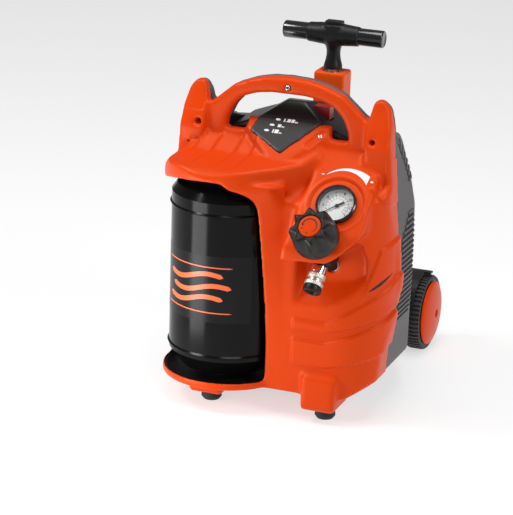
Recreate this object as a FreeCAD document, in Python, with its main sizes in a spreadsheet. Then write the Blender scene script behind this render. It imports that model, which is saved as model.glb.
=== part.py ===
import FreeCAD, Part
import math
import os
import Sketcher
from FreeCAD import Placement, Rotation, Vector

# Upright trolley air compressor. The origin is on the floor under the middle of the outer box.
# +X is the right-hand side seen from the front, -Y is the front, +Z is up. Millimetres.
# "Back" below is a distance behind the parting plane, where the front and rear shells meet.

DRIVING = {
    "wall": 3.0, "fit": 0.05, "gap": 0.4,
    "half_width": 161.0, "parting_y": -82.5, "body_low": 34.0, "front_back": -70.0,
    "corner_radius": 62.0, "horn_top": 433.0, "arch_top": 449.0, "arch_under": 426.0,
    "shoulder_z": 372.0, "tank_x": -72.0, "tank_back": -23.0, "tank_radius": 79.0,
    "tank_low": 42.0, "tank_high": 321.0, "tank_wall": 2.0, "tank_dome": 30.0,
    "bead_radius": 2.2, "window_gap": 4.0, "visor_radius": 89.0, "lip_front_z": 322.0,
    "tray_rim_z": 47.0, "lean": 40.0, "panel_x": 91.0, "gauge_z": 303.0,
    "gauge_radius": 27.0, "regulator_x": 81.0, "regulator_back": -73.0,
    "regulator_z": 238.0, "knob_radius": 31.0, "knob_low": 42.0, "knob_high": 85.0,
    "coupler_radius": 12.5,
    "wheel_radius": 54.6, "tyre_width": 25.0, "wheel_face": 128.0, "axle_radius": 5.0,
    "axle_back": 267.4, "foot_radius": 14.0, "foot_height": 17.0, "foot_x": 82.0,
    "foot_back": -49.0, "pole_back": 163.0, "bar_z": 472.0, "bar_half": 72.0,
    "bar_radius": 12.0, "clamp_half": 37.0, "lift_radius": 9.0, "guide_radius": 13.0,
    "lift_low": 75.0, "motor_back": 100.0, "motor_z": 130.0, "motor_radius": 40.0,
    "shaft_radius": 6.0, "bore_radius": 24.0, "pin_offset": 12.0, "cylinder_x": 42.0,
}


class Dim:
    """A length with the sheet expression that gives it."""

    def __init__(self, value, text):
        self.value, self.text = value, text

    def __add__(self, other):
        return combine(self, "+", other, self.value + number(other))

    def __sub__(self, other):
        return combine(self, "-", other, self.value - number(other))

    def __mul__(self, other):
        return combine(self, "*", other, self.value * number(other))

    def __float__(self):
        return float(self.value)


def number(value):
    return value.value if isinstance(value, Dim) else float(value)


def text(value):
    return value.text if isinstance(value, Dim) else repr(float(value))


def combine(left, sign, right, value):
    return Dim(value, f"({text(left)} {sign} {text(right)})")


doc = FreeCAD.newDocument("compressor")
sheet = doc.addObject("Spreadsheet::Sheet", "Sizes")
for row, (alias, value) in enumerate(DRIVING.items(), 1):
    sheet.set(f"A{row}", alias)
    sheet.set(f"B{row}", str(value))
    sheet.setAlias(f"B{row}", alias)
doc.recompute()
S = {alias: Dim(float(sheet.get(alias)), f"Sizes.{alias}") for alias in DRIVING}
PARTS = []

ALONG_X = Rotation(Vector(0, 1, 0), 90)
ALONG_Y = Rotation(Vector(1, 0, 0), -90)
UPRIGHT = Rotation()


def at_back(back):
    """The y of a distance behind the parting plane."""
    return number(S["parting_y"]) + number(back)


def keep(shape_object, label):
    """Names a finished sub-part, which is exported under its label."""
    shape_object.Label = label
    PARTS.append(shape_object)
    return shape_object


def place(thing, x, y, z, rotation=UPRIGHT):
    thing.Placement = Placement(Vector(number(x), number(y), number(z)), rotation)
    return thing


# ---- parametric makers ---------------------------------------------------------------


def bound(kind, name, **sizes):
    """A Part primitive whose sizes follow the sheet."""
    thing = doc.addObject(kind, name)
    for key, value in sizes.items():
        thing.setExpression(key, text(value))
    return thing


def cylinder(name, radius, height):
    return bound("Part::Cylinder", name, Radius=radius, Height=height)


def cone(name, low, high, height):
    return bound("Part::Cone", name, Radius1=low, Radius2=high, Height=height)


def fuse(name, *things):
    made = doc.addObject("Part::MultiFuse", name)
    made.Shapes = list(things)
    return made


def cut(name, base, *tools):
    made = doc.addObject("Part::Cut", name)
    made.Base = base
    made.Tool = tools[0] if len(tools) == 1 else fuse(name + "Tools", *tools)
    return made


def sketch_on(body, role, points):
    """A closed outline on one of the body's origin planes, each corner bound to the sheet."""
    sketch = body.newObject("Sketcher::SketchObject", body.Name + "Outline")
    plane = next(part for part in body.Origin.OriginFeatures if part.Role == role)
    sketch.AttachmentSupport = [(plane, "")]
    sketch.MapMode = "FlatFace"
    spots = [Vector(number(a), number(b), 0) for a, b in points]
    for i, spot in enumerate(spots):
        sketch.addGeometry(Part.LineSegment(spot, spots[(i + 1) % len(spots)]), False)
    for i, (a, b) in enumerate(points):
        sketch.addConstraint(Sketcher.Constraint("Coincident", i, 2, (i + 1) % len(points), 1))
        for axis, value in (("DistanceX", a), ("DistanceY", b)):
            index = sketch.addConstraint(Sketcher.Constraint(axis, i, 1, number(value)))
            if isinstance(value, Dim):
                sketch.setExpression(f"Constraints[{index}]", value.text)
    return sketch


def turned(name, points):
    """A body of revolution about its own Z, from (radius, z) corners."""
    body = doc.addObject("PartDesign::Body", name)
    sketch = sketch_on(body, "XZ_Plane", points)
    spin = body.newObject("PartDesign::Revolution", name + "Turn")
    spin.Profile = sketch
    spin.ReferenceAxis = (sketch, ["V_Axis"])
    spin.Angle = 360
    sketch.Visibility = False
    return body


def feature(name, shape):
    """A sub-part whose shape is worked out with Part's own functions."""
    thing = doc.addObject("Part::Feature", name)
    thing.Shape = shape
    return thing


# ---- plain shape functions, for the moulded casing --------------------------------------


def face(points):
    corners = [Vector(*point) for point in points]
    return Part.Face(Part.makePolygon(corners + corners[:1]))


def prism_x(outline, x0, x1):
    """(back, z) corners, swept along X."""
    return face([(x0, at_back(b), z) for b, z in outline]).extrude(Vector(x1 - x0, 0, 0))


def prism_y(outline, back0, back1):
    """(x, z) corners, swept along Y."""
    start = [(x, at_back(back0), z) for x, z in outline]
    return face(start).extrude(Vector(0, back1 - back0, 0))


def prism_z(outline, z0, z1):
    """(x, back) corners, swept along Z."""
    return face([(x, at_back(b), z0) for x, b in outline]).extrude(Vector(0, 0, z1 - z0))


def rod(radius, start, end):
    start, end = Vector(*start), Vector(*end)
    return Part.makeCylinder(radius, (end - start).Length, start, end - start)


def disc_column(x, back, radius, z0, z1):
    return Part.makeCylinder(radius, z1 - z0, Vector(x, at_back(back), z0))


def mirrored(half):
    """A closed (x, z) outline from its right half, whose ends lie on x = 0."""
    left = [(-x, z) for x, z in reversed(half) if x > 0]
    return list(half) + left


def arc_points(cx, cy, radius, start, end, steps):
    """Points on an arc, angles in degrees."""
    turns = [math.radians(start + (end - start) * i / steps) for i in range(steps + 1)]
    return [(cx + radius * math.cos(t), cy + radius * math.sin(t)) for t in turns]


def solid(shape):
    """The single solid of a boolean's result, tidied."""
    shape = shape.removeSplitter()
    return max(shape.Solids, key=lambda s: s.Volume)


# ---- the casing -----------------------------------------------------------------------

NUM = {alias: dim.value for alias, dim in S.items()}
LEAN = math.radians(NUM["lean"])
NORMAL = Vector(0, -math.cos(LEAN), math.sin(LEAN))
PANEL_TOP_BACK = -8.0
OUTLET_WAY = Vector(-0.08, -0.64, -0.765).normalize()
SQUARE_TO_PANEL = Rotation(Vector(0, 0, 1), NORMAL)
TANK = (NUM["tank_x"], NUM["tank_back"])
CORNER_X = NUM["half_width"] - 3 - NUM["corner_radius"]

BODY_HALF = [
    (0, NUM["body_low"]), (112, NUM["body_low"]), (149, 58), (152, 103), (158, 140),
    (NUM["half_width"], 208), (158, 253), (153, 296), (148, 358), (145, 399), (140, 421),
    (132, 431), (124, NUM["horn_top"]), (117, 429), (114, 416), (112, 401), (91, 419),
    (76, 432), (50, 442), (24, 448), (0, NUM["arch_top"]),
]
HAND_HALF = [
    (0, NUM["shoulder_z"]), (86, NUM["shoulder_z"]), (84, 386), (77, 402), (64, 416),
    (45, 423), (24, NUM["arch_under"]), (0, NUM["arch_under"]),
]
POCKET_BACK = -45.0
POCKET_MOUTH = [(38, 158), (90, 162), (114, 174), (142, 195), (143, 215), (127, 258),
                (95, 234), (40, 231)]
POCKET_END = [(48, 190), (80, 191), (110, 196), (130, 206), (130, 232), (121, 250),
              (93, 233), (48, 231)]


def panel_back(z):
    """How far back the leaning control panel is at a height."""
    return PANEL_TOP_BACK + (z - NUM["shoulder_z"]) * math.tan(LEAN)


def on_panel(x, z, out=0.0):
    """A point of the control panel, moved out of its face."""
    return Vector(x, at_back(panel_back(z)), z) + NORMAL * out


def inward(outline, amount):
    """A closed outline drawn in by an amount on every side."""
    wire = Part.makePolygon([Vector(a, b, 0) for a, b in outline + outline[:1]])
    inner = Part.Face(wire).makeOffset2D(-amount, join=2)
    return [(v.Point.x, v.Point.y) for v in inner.OuterWire.OrderedVertexes]


def outward(outline, amount):
    """An anticlockwise outline grown on every side, corner for corner."""
    grown = []
    for i, (x, z) in enumerate(outline):
        sides = []
        for (x0, z0), (x1, z1) in ((outline[i - 1], (x, z)),
                                   ((x, z), outline[(i + 1) % len(outline)])):
            length = math.hypot(x1 - x0, z1 - z0)
            sides.append(((z1 - z0) / length, (x0 - x1) / length))
        (ax, az), (bx, bz) = sides
        stretch = amount / (1 + ax * bx + az * bz)
        grown.append((x + (ax + bx) * stretch, z + (az + bz) * stretch))
    return grown


def front_plan(inset=0.0):
    """Plan of the right-hand front: flat front, then a large round corner."""
    corner = arc_points(CORNER_X, NUM["front_back"] + NUM["corner_radius"],
                        NUM["corner_radius"] - inset, -90, 0, 10)
    left = 2.6 * inset
    return [(left, 0), (left, NUM["front_back"] + inset)] + corner + [(corner[-1][0] + 2, 0)]


def core(inset=0.0):
    steep, shallow = 2.2 * inset, 1.2 * inset
    top = [(0, 372 - steep), (-6, 368 - steep), (-30, 322 - steep),
           (NUM["front_back"] + inset, 296 - shallow)]
    side = [(0, NUM["body_low"] + inset), (NUM["front_back"] + inset, NUM["body_low"] + inset)]
    plan = prism_z(front_plan(inset), NUM["body_low"] + inset, 380)
    return plan.common(prism_x(side + top[::-1], 0, NUM["half_width"]))


def nose(inset=0.0):
    """The leaning control panel, which overhangs the coupler's pocket."""
    slope = [(panel_back(372), 372), (panel_back(253), 253)]
    side = slope + [(-111, 247), (-111, 231), (-20, 231), (0, 260), (0, 372)]
    seen = [(56, 372), (90, 372), (127, 349), (137, 336), (134, 270), (97, 233), (92, 231),
            (30, 231), (33, 252), (41, 298)]
    if inset:
        side, seen = inward(side, inset), inward(seen, inset)
    return prism_x(side, 20, 150).common(prism_y(seen, -120, 0))


def visor():
    """The cap over the tank, whose lip falls towards the back."""
    top = [(0, 372), (-6, 372), (-44, 346), (-100, 338), (-109, 332), (-112, 325)]
    side = [(0, 288), (-110, NUM["lip_front_z"] - 1)]
    seen = [(-161, 280), (-161, 316), (-150, 330), (-126, 356), (-112, 372), (60, 372),
            (60, 280)]
    plan = [(-158, 0), (-158, -23), (-72, -111), (-30, -100), (8, -74), (52, -30), (52, 0)]
    round_plan = disc_column(*TANK, NUM["visor_radius"], 280, 380)
    stepped = prism_z(plan, 280, 380).fuse(round_plan)
    shape = prism_x(side + top[::-1], -161, 60).common(prism_y(seen, -112, 0))
    return shape.common(stepped)


def ridge(inset=0.0):
    """The V-shaped rise in the middle that carries the dark plate."""
    plan = [(-58, 0), (-58, -14), (-6, -54), (10, -54), (60, -10), (60, 0)]
    side = [(0, 330), (-54, 330), (-54, 341), (-44, 352), (-2, 389), (0, 389)]
    if inset:
        plan, side = inward(plan, inset), inward(side, inset)
    return prism_z(plan, 320, 400).common(prism_x(side, -60, 62))


def horns(side):
    """Both horns from the front-view outline and a (back, z) profile."""
    seen = prism_y(mirrored(BODY_HALF), -35, 20)
    fins = [prism_x(side, low, low + 49) for low in (112, -161)]
    return seen.common(fins[0].fuse(fins[1]))


def foot_block(sign):
    side = [(-20, 17), (-80, 17), (-83, 24), (-79, 61), (-75, 66), (-20, 66)]
    x0, x1 = (56, 104) if sign > 0 else (-104, -56)
    return prism_x(side, x0, x1)


def pocket(grow=0.0):
    """The recess for the coupler: its floor climbs to the right and to the back."""
    mouth, end = outward(POCKET_MOUTH, grow), outward(POCKET_END, grow)
    wires = []
    for outline, back in ((mouth, -72.0), (end, POCKET_BACK + grow)):
        ring = [Vector(x, at_back(back), z) for x, z in outline]
        wires.append(Part.makePolygon(ring + ring[:1]))
    return Part.makeLoft(wires, True, True).fuse(prism_y(mouth, -125, -72))


def casing_holes():
    """Screw recesses of the handle and horns, and the gauge's and regulator's holes."""
    holes = [rod(4.6, (x, at_back(-40), z), (x, at_back(back), z))
             for x, back, z in ((122, -14, 379), (-122, -14, 379), (0, -12, 436))]
    gauge = on_panel(NUM["panel_x"], NUM["gauge_z"])
    holes.append(rod(NUM["gauge_radius"] - 1.6, gauge - NORMAL * 40, gauge + NORMAL * 10))
    centre = regulator_point(0)
    holes.append(rod(18.5, centre - NORMAL * 18, centre + NORMAL * 60))
    holes.append(rod(11, centre, centre + OUTLET_WAY * 26))
    holes.append(disc_column(TANK[0], TANK[1] + 5, 15, 15, 45))
    holes.append(rod(8, centre - NORMAL * 50, centre))
    return holes


def regulator_point(along):
    """A point on the regulator's axis, measured out from its body's centre."""
    middle = Vector(NUM["regulator_x"], at_back(NUM["regulator_back"]), NUM["regulator_z"])
    return middle + NORMAL * along


def hand_opening(back0, back1):
    return prism_y(mirrored(HAND_HALF), back0, back1)


def front_shell():
    wall = NUM["wall"]
    seen = prism_y(mirrored(BODY_HALF), -160, 0)
    frame = prism_y(mirrored(BODY_HALF), -12, 0).cut(prism_y(
        [(-112, 372), (112, 372), (112, 460), (-112, 460)], -20, 5))
    arch = seen.common(prism_x([(0, 366), (-16, 366), (-16, 444), (-11, 450), (0, 450)],
                               -113, 113)).cut(hand_opening(-20, 5))
    fin = [(0, 300), (-26, 300), (-30, 372), (-24, 392), (-10, 427), (-4, 434), (0, 434)]
    tray = disc_column(*TANK, NUM["visor_radius"] - 2, NUM["body_low"], NUM["tray_rim_z"])
    outer = core().fuse([ridge(), frame, arch, horns(fin)]).common(seen)
    front_half = prism_x([(0, 0), (-112, 0), (-112, 460), (0, 460)], -161, 161)
    outer = outer.fuse([nose(), visor(), tray]).common(front_half)
    outer = outer.fuse([foot_block(1), foot_block(-1)])
    tank_room = disc_column(*TANK, NUM["tank_radius"] + NUM["window_gap"],
                            NUM["tank_low"] - 4, NUM["tank_high"] + 3)
    roof_room = prism_x([(0, 366), (-9, 366), (-45, 340), (-95, 333), (-95, 322), (0, 322)],
                        -138, 48)
    roof_room = roof_room.common(prism_z(
        [(-138, 0), (-138, -24), (-72, -100), (-34, -92), (0, -66), (42, -27), (42, 0)],
        320, 370))
    inside = prism_y(inward(mirrored(BODY_HALF), wall), -160, 5)
    inner = core(wall).common(inside).fuse([nose(wall + 0.6), roof_room, ridge(5)])
    inner = inner.cut(pocket(wall))
    front_window = prism_z([(-161, -12), (-161, -113), (-0.5, -113), (-0.5, -12)],
                           NUM["tray_rim_z"], 300)
    keep_round = visor()
    shape = outer.cut(tank_room).cut(inner).cut(pocket()).cut(front_window.cut(keep_round))
    for hole in casing_holes():
        shape = shape.cut(hole)
    slot = prism_x([(-58, 187), (-25, 205), (-23, 209), (-56, 191)], 120, 165)
    return solid(shape.cut(slot))


REAR_PLAN_HALF = [(0, 0), (157, 0), (158, 62), (147, 100), (128, 150), (104, 205), (96, 209),
                  (0, 209)]
REAR_SIDE = [(0, 38), (150, 38), (203, 46), (209, 56), (209, 296), (196, 335),
             (130, 356), (60, 372), (16, 386), (0, 388)]
STEP_IN = 0.985
# Each facet of the rear flanks: half width at back 90 and height 300, then how much of it
# is lost per millimetre towards the back and per millimetre upwards.
FLANK_FACETS = [(143.0, 0.433, 0.22), (146.0, 0.32, 0.39), (174.0, 0.45, 0.9)]


def drawn_in(shape, spare=0.0):
    """Both flanks cut back to the facets, as they narrow upwards and towards the rear."""
    for width, per_back, per_rise in FLANK_FACETS:
        for sign in (1, -1):
            corners = []
            for back, z in ((-5, 20), (230, 20), (230, 480), (-5, 480)):
                x = width - per_back * (back - 90) - per_rise * (z - 300) - spare
                corners.append((sign * x, at_back(back), z))
            shape = shape.cut(face(corners).extrude(Vector(sign * 260, 0, 0)))
    return shape


def rear_shell():
    wall = NUM["wall"]
    outline = [(x * STEP_IN, z) for x, z in mirrored(BODY_HALF)]
    seen = prism_y(outline, 0, 210)
    plan = mirrored(REAR_PLAN_HALF)
    body = drawn_in(seen.common(prism_z(plan, 40, 400)).common(
        prism_x(REAR_SIDE, -161, 161)))
    room = inward(outline, wall)
    inner = drawn_in(prism_y(room, -1, 206).common(
        prism_z(inward(plan, wall), 40, 400)).common(
        prism_x(inward(REAR_SIDE, wall), -161, 161)), 1.15 * wall)
    mouth = prism_y(room, -1, 10).common(
        prism_x([(-1, 38), (10, 38), (10, 372), (-1, 372)], -161, 161))
    arch = seen.common(prism_x([(0, 366), (14, 366), (14, 442), (9, 450), (0, 450)], -113, 113))
    fin = [(0, 340), (14, 340), (13, 420), (8, 430), (2, 434), (0, 434)]
    shell = body.fuse([arch, horns(fin).common(seen)]).cut(inner).cut(mouth)
    shell = shell.cut(hand_opening(-5, 20)).cut(prism_x(
        [(-5, 361), (90, 361), (90, 400), (14, 400), (14, 372), (-5, 372)], -86, 86))
    shell = shell.cut(disc_column(*TANK, NUM["tank_radius"] + 3, 36, 330))
    pole = disc_column(0, NUM["pole_back"], NUM["guide_radius"] + NUM["gap"], 40, 460)
    gland = rod(8, (-60, at_back(200), 90), (-60, at_back(215), 90))
    return solid(shell.cut(pole).cut(gland))


HUMP_SEEN = [(-85.6, 366), (-85.6, 372), (-46, 388), (-12, 411), (12, 411), (46, 388),
             (85.6, 372), (85.6, 366)]
HUMP_SIDE = [(0.4, 362), (0.4, 391), (22, 411), (64, 402), (84, 385), (89.6, 374), (89.6, 362)]
SWITCH = (34.0, 34.0)
SWITCH_SIZE = (22.0, 16.0)


def top_cover():
    """The dark hump under the handle, with its V-shaped front plate."""
    def hump(inset):
        seen, side = HUMP_SEEN, HUMP_SIDE
        if inset:
            seen, side = inward(seen, inset), inward(side, inset)
        return prism_y(seen, 0, 90).common(prism_x(side, -90, 90))
    shape = hump(0).cut(hump(NUM["wall"]))
    shape = shape.cut(prism_x([(4, 360), (86, 360), (86, 370), (4, 370)], -82, 82))
    plate = prism_x([(-44, 352), (-44, 354.4), (-2.6, 391), (1, 391), (1, 389), (-2, 389)],
                    -60, 62)
    plate = plate.common(prism_z([(-43, 1), (-50, -21), (0, -43), (3, -43), (50, 1)], 340, 400))
    half_x, half_y = SWITCH_SIZE[0] / 2 + NUM["gap"], SWITCH_SIZE[1] / 2 + NUM["gap"]
    window = prism_z([(SWITCH[0] - half_x, SWITCH[1] - half_y),
                      (SWITCH[0] + half_x, SWITCH[1] - half_y),
                      (SWITCH[0] + half_x, SWITCH[1] + half_y),
                      (SWITCH[0] - half_x, SWITCH[1] + half_y)], 370, 420)
    return solid(shape.fuse(plate).cut(window))


def fender(sign):
    """A mudguard over the inner half of a wheel's front top, with a wider lip on its upper edge."""
    ring = NUM["wheel_radius"] + 4
    axle_y, axle_z = NUM["axle_back"], NUM["wheel_radius"]
    outer = arc_points(axle_y, axle_z, ring + 3, 84, 162, 12)
    inner = arc_points(axle_y, axle_z, ring, 162, 84, 12)
    band_x = (90, 117.5) if sign > 0 else (-117.5, -90)
    lip_x = (90, 127) if sign > 0 else (-127, -90)
    lip = (arc_points(axle_y, axle_z, ring + 3, 84, 94, 3)
           + arc_points(axle_y, axle_z, ring, 94, 84, 3))
    band = prism_x(outer + inner, *band_x).fuse(prism_x(lip, *lip_x))
    cheek_x = (90, 93) if sign > 0 else (-93, -90)
    cheek = prism_x([(209.4, 70), (209.4, 118)] + outer[:4][::-1] + inner[-2:], *cheek_x)
    behind = prism_x([(209.4, 40), (209.4, 140), (300, 140), (300, 40)], *lip_x)
    return solid(band.fuse(cheek).common(behind))


def add_casing():
    keep(feature("front_shell", front_shell()), "front_shell")
    keep(feature("rear_shell", rear_shell()), "rear_shell")
    keep(feature("top_cover", top_cover()), "top_cover")
    for side, sign in (("left", -1), ("right", 1)):
        keep(feature(f"fender_{side}", fender(sign)), f"fender_{side}")


# ---- tank -----------------------------------------------------------------------------


def add_tank():
    """A welded hollow cylinder with domed ends, two swaged beads and a rear bung."""
    outer, wall = S["tank_radius"], S["tank_wall"]
    low, high, dome = S["tank_low"], S["tank_high"], S["tank_dome"]
    bead = S["bead_radius"]
    rim = outer - 16
    neck = outer - 44
    points = [(Dim(0.0, "0"), low), (neck, low), (rim, low + 8), (outer, low + dome),
              (outer, low + 35), (outer + bead, low + 37), (outer, low + 39),
              (outer, high - 48), (outer + bead, high - 46), (outer, high - 44),
              (outer, high - dome), (rim, high - 8), (neck, high), (Dim(0.0, "0"), high)]
    inside = [(0, low + wall), (neck, low + wall), (rim - wall, low + 10),
              (outer - wall, low + dome), (outer - wall, high - dome),
              (rim - wall, high - 10), (neck, high - wall), (0, high - wall)]
    skin = place(turned("TankSkin", points), S["tank_x"], at_back(S["tank_back"]), 0)
    room = place(turned("TankRoom", inside), S["tank_x"], at_back(S["tank_back"]), 0)
    bung = place(cylinder("TankBung", 11, 16), *bung_point(-6), BUNG_TURN)
    bore = place(cylinder("TankBore", 6, 40), *bung_point(-20), BUNG_TURN)
    drain = place(cylinder("TankDrainHole", 5, 20), S["tank_x"], at_back(S["tank_back"]), 30)
    keep(cut("Tank", fuse("TankBody", skin, bung), room, bore, drain), "tank")
    pad = cut("TankPad", cylinder("PadDisc", 34, 4), place(cylinder("PadBore", 12, 10), 0, 0, -2))
    keep(place(pad, S["tank_x"], at_back(S["tank_back"]), low - 4), "tank_pad")


BUNG_ANGLE = 40.0
BUNG_Z = 260.0
BUNG_WAY = Vector(math.cos(math.radians(BUNG_ANGLE)), math.sin(math.radians(BUNG_ANGLE)), 0)
BUNG_TURN = Rotation(Vector(0, 0, 1), BUNG_WAY)


def bung_point(out):
    """A point on the tank bung's axis, measured out from the tank's side."""
    middle = Vector(NUM["tank_x"], at_back(NUM["tank_back"]), BUNG_Z)
    return middle + BUNG_WAY * (NUM["tank_radius"] + out)


DRAIN_Z = 30.0


def add_drain():
    """The drain cock under the tank, whose tap turns about a crosswise axis."""
    x, y = NUM["tank_x"], at_back(NUM["tank_back"])
    stem = place(cylinder("DrainStem", 4.9, 22), x, y, 22)
    nut = place(cylinder("DrainNut", 8, 10), x, y, 24)
    seat = place(cylinder("DrainSeat", 3 + NUM["fit"], 24), x, y - 12, DRAIN_Z, ALONG_Y)
    keep(cut("DrainValve", fuse("DrainBody", stem, nut), seat), "drain_valve")
    spindle = place(cylinder("DrainSpindle", 3, 17), x, y - 7, DRAIN_Z, ALONG_Y)
    wing = bound("Part::Box", "DrainWing", Length=13, Width=3, Height=6)
    place(wing, x - 6.5, y + 10, DRAIN_Z - 3)
    keep(fuse("DrainTap", spindle, wing), "drain_tap")


# ---- regulator, gauge and coupler --------------------------------------------------------

OUTLET_TURN = Rotation(Vector(0, 0, 1), OUTLET_WAY)


def outlet_point(along):
    return regulator_point(0) + OUTLET_WAY * along


def add_regulator():
    body = place(cylinder("RegulatorCore", 15, 30), *regulator_point(-14), SQUARE_TO_PANEL)
    bonnet = place(cylinder("RegulatorBonnet", 17, 24), *regulator_point(16), SQUARE_TO_PANEL)
    inlet = place(cylinder("RegulatorInlet", 7, 31), *regulator_point(-44), SQUARE_TO_PANEL)
    spindle = place(cylinder("RegulatorSpindle", 7, 20), *regulator_point(40), SQUARE_TO_PANEL)
    outlet = place(cylinder("RegulatorOutlet", 9, 21), *outlet_point(0), OUTLET_TURN)
    bore = place(cylinder("RegulatorBore", 5, 26), *outlet_point(0), OUTLET_TURN)
    solid_body = fuse("RegulatorBody", body, bonnet, inlet, spindle, outlet)
    keep(cut("Regulator", solid_body, bore), "regulator_body")
    add_knob()


def add_knob():
    """Eight finger scallops around a tapered grip, turning on the spindle."""
    tall = NUM["knob_high"] - NUM["knob_low"]
    radius = S["knob_radius"]
    points = [(0, 3), (radius - 5, 0), (radius, 4), (radius, 20), (radius - 1.5, tall - 8),
              (radius - 8, tall), (0, tall)]
    grip = place(turned("KnobGrip", points), *regulator_point(NUM["knob_low"]), SQUARE_TO_PANEL)
    scallops = []
    for i in range(8):
        angle = math.radians(22.5 + 45 * i)
        spot = SQUARE_TO_PANEL.multVec(Vector(math.cos(angle), math.sin(angle), 0)) * 33
        scallops.append(place(cylinder(f"Scallop{i}", 8, 40),
                              *(regulator_point(NUM["knob_low"] + 13) + spot), SQUARE_TO_PANEL))
    socket = place(cylinder("KnobSocket", 7 + NUM["fit"], 22), *regulator_point(39),
                   SQUARE_TO_PANEL)
    recess = place(cylinder("KnobRecess", 15, 6), *regulator_point(NUM["knob_high"] - 1.5),
                   SQUARE_TO_PANEL)
    keep(cut("Knob", grip, *scallops, socket, recess), "regulator_knob")
    cap = place(cylinder("KnobCap", 15, 2.5), *regulator_point(NUM["knob_high"] - 1.5),
                SQUARE_TO_PANEL)
    keep(cap, "knob_cap")


NEEDLE_REST = 212.0


def add_gauge():
    """A case let into the panel, with dial, needle on its pivot, and a clear lens."""
    radius = S["gauge_radius"]

    def up(out):
        return [*on_panel(NUM["panel_x"], NUM["gauge_z"], out)]

    case_shape = turned("GaugeCase", [
        (0, -22), (radius - 2, -22), (radius - 2, 0), (radius, 0), (radius, 3),
        (radius - 1.5, 4), (radius - 3.2, 4), (radius - 3.2, -6), (0, -6)])
    case = place(case_shape, *up(0), SQUARE_TO_PANEL)
    stem = place(cylinder("GaugeStem", 5, 17), *up(-38), SQUARE_TO_PANEL)
    keep(fuse("Gauge", case, stem), "gauge_case")
    dial = cut("Dial", place(cylinder("DialDisc", radius - 3.25, 1.2), *up(-6), SQUARE_TO_PANEL),
               place(cylinder("DialHole", 1.2 + NUM["fit"], 6), *up(-8), SQUARE_TO_PANEL))
    keep(dial, "gauge_dial")
    staff = place(cylinder("NeedleStaff", 1.2, 3.6), *up(-6), SQUARE_TO_PANEL)
    hub = place(cylinder("NeedleHub", 2.6, 1.4), *up(-3.8), SQUARE_TO_PANEL)
    way = Rotation(NORMAL, NEEDLE_REST) * SQUARE_TO_PANEL
    pointer = bound("Part::Box", "NeedlePointer", Length=26, Width=1.2, Height=0.6)
    place(pointer, *(Vector(*up(-3.5)) + way.multVec(Vector(-7, -0.6, 0))), way)
    keep(fuse("Needle", staff, hub, pointer), "gauge_needle")
    lens = place(cylinder("GaugeLens", radius - 3.25, 1.5), *up(1.2), SQUARE_TO_PANEL)
    keep(lens, "gauge_lens")
    ring = cut("Ring", place(cylinder("RingDisc", radius + 6, 1.6), *up(0), SQUARE_TO_PANEL),
               place(cylinder("RingHole", radius + 0.05, 6), *up(-2), SQUARE_TO_PANEL))
    keep(ring, "gauge_ring")


def add_coupler():
    """A chrome quick coupler: body, sliding sleeve and black nose round the socket."""
    radius = S["coupler_radius"]

    def at(along):
        return [*outlet_point(along)]
    hexagon = place(cylinder("CouplerHex", radius - 2.5, 8), *at(21), OUTLET_TURN)
    barrel = place(cylinder("CouplerBarrel", radius - 3.5, 26), *at(29), OUTLET_TURN)
    bore = place(cylinder("CouplerBore", 5.2, 60), *at(20), OUTLET_TURN)
    keep(cut("Coupler", fuse("CouplerSolid", hexagon, barrel), bore), "coupler_body")
    sleeve = fuse("SleeveSolid",
                  place(cylinder("SleeveGrip", radius, 8), *at(33), OUTLET_TURN),
                  place(cylinder("SleeveWaist", radius - 1.5, 14), *at(33), OUTLET_TURN))
    hole = place(cylinder("SleeveHole", number(radius) - 3.5 + NUM["fit"], 24), *at(30),
                 OUTLET_TURN)
    keep(cut("Sleeve", sleeve, hole), "coupler_sleeve")
    nose_ring = fuse("NoseSolid", place(cone("NoseCone", radius - 1, radius, 3), *at(49),
                                        OUTLET_TURN),
                     place(cylinder("NoseBarrel", radius, 4), *at(51.9), OUTLET_TURN))
    nose_hole = place(cylinder("NoseHole", number(radius) - 3.5, 7), *at(48), OUTLET_TURN)
    nose_mouth = place(cylinder("NoseMouth", 7.5, 20), *at(50), OUTLET_TURN)
    keep(cut("CouplerNose", nose_ring, nose_hole, nose_mouth), "coupler_nose")


# ---- pump, motor and air lines -------------------------------------------------------------

SHAFT_Y = at_back(NUM["motor_back"])
SHAFT_Z = NUM["motor_z"]
PUMP_FLOOR = 41.0


def along_shaft(name, radius, x0, x1):
    """A cylinder on the motor's axis."""
    return place(cylinder(name, radius, x1 - x0), x0, SHAFT_Y, SHAFT_Z, ALONG_X)


def box_at(name, x0, x1, y0, y1, z0, z1):
    box = bound("Part::Box", name, Length=x1 - x0, Width=y1 - y0, Height=z1 - z0)
    return place(box, x0, y0, z0)


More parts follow.
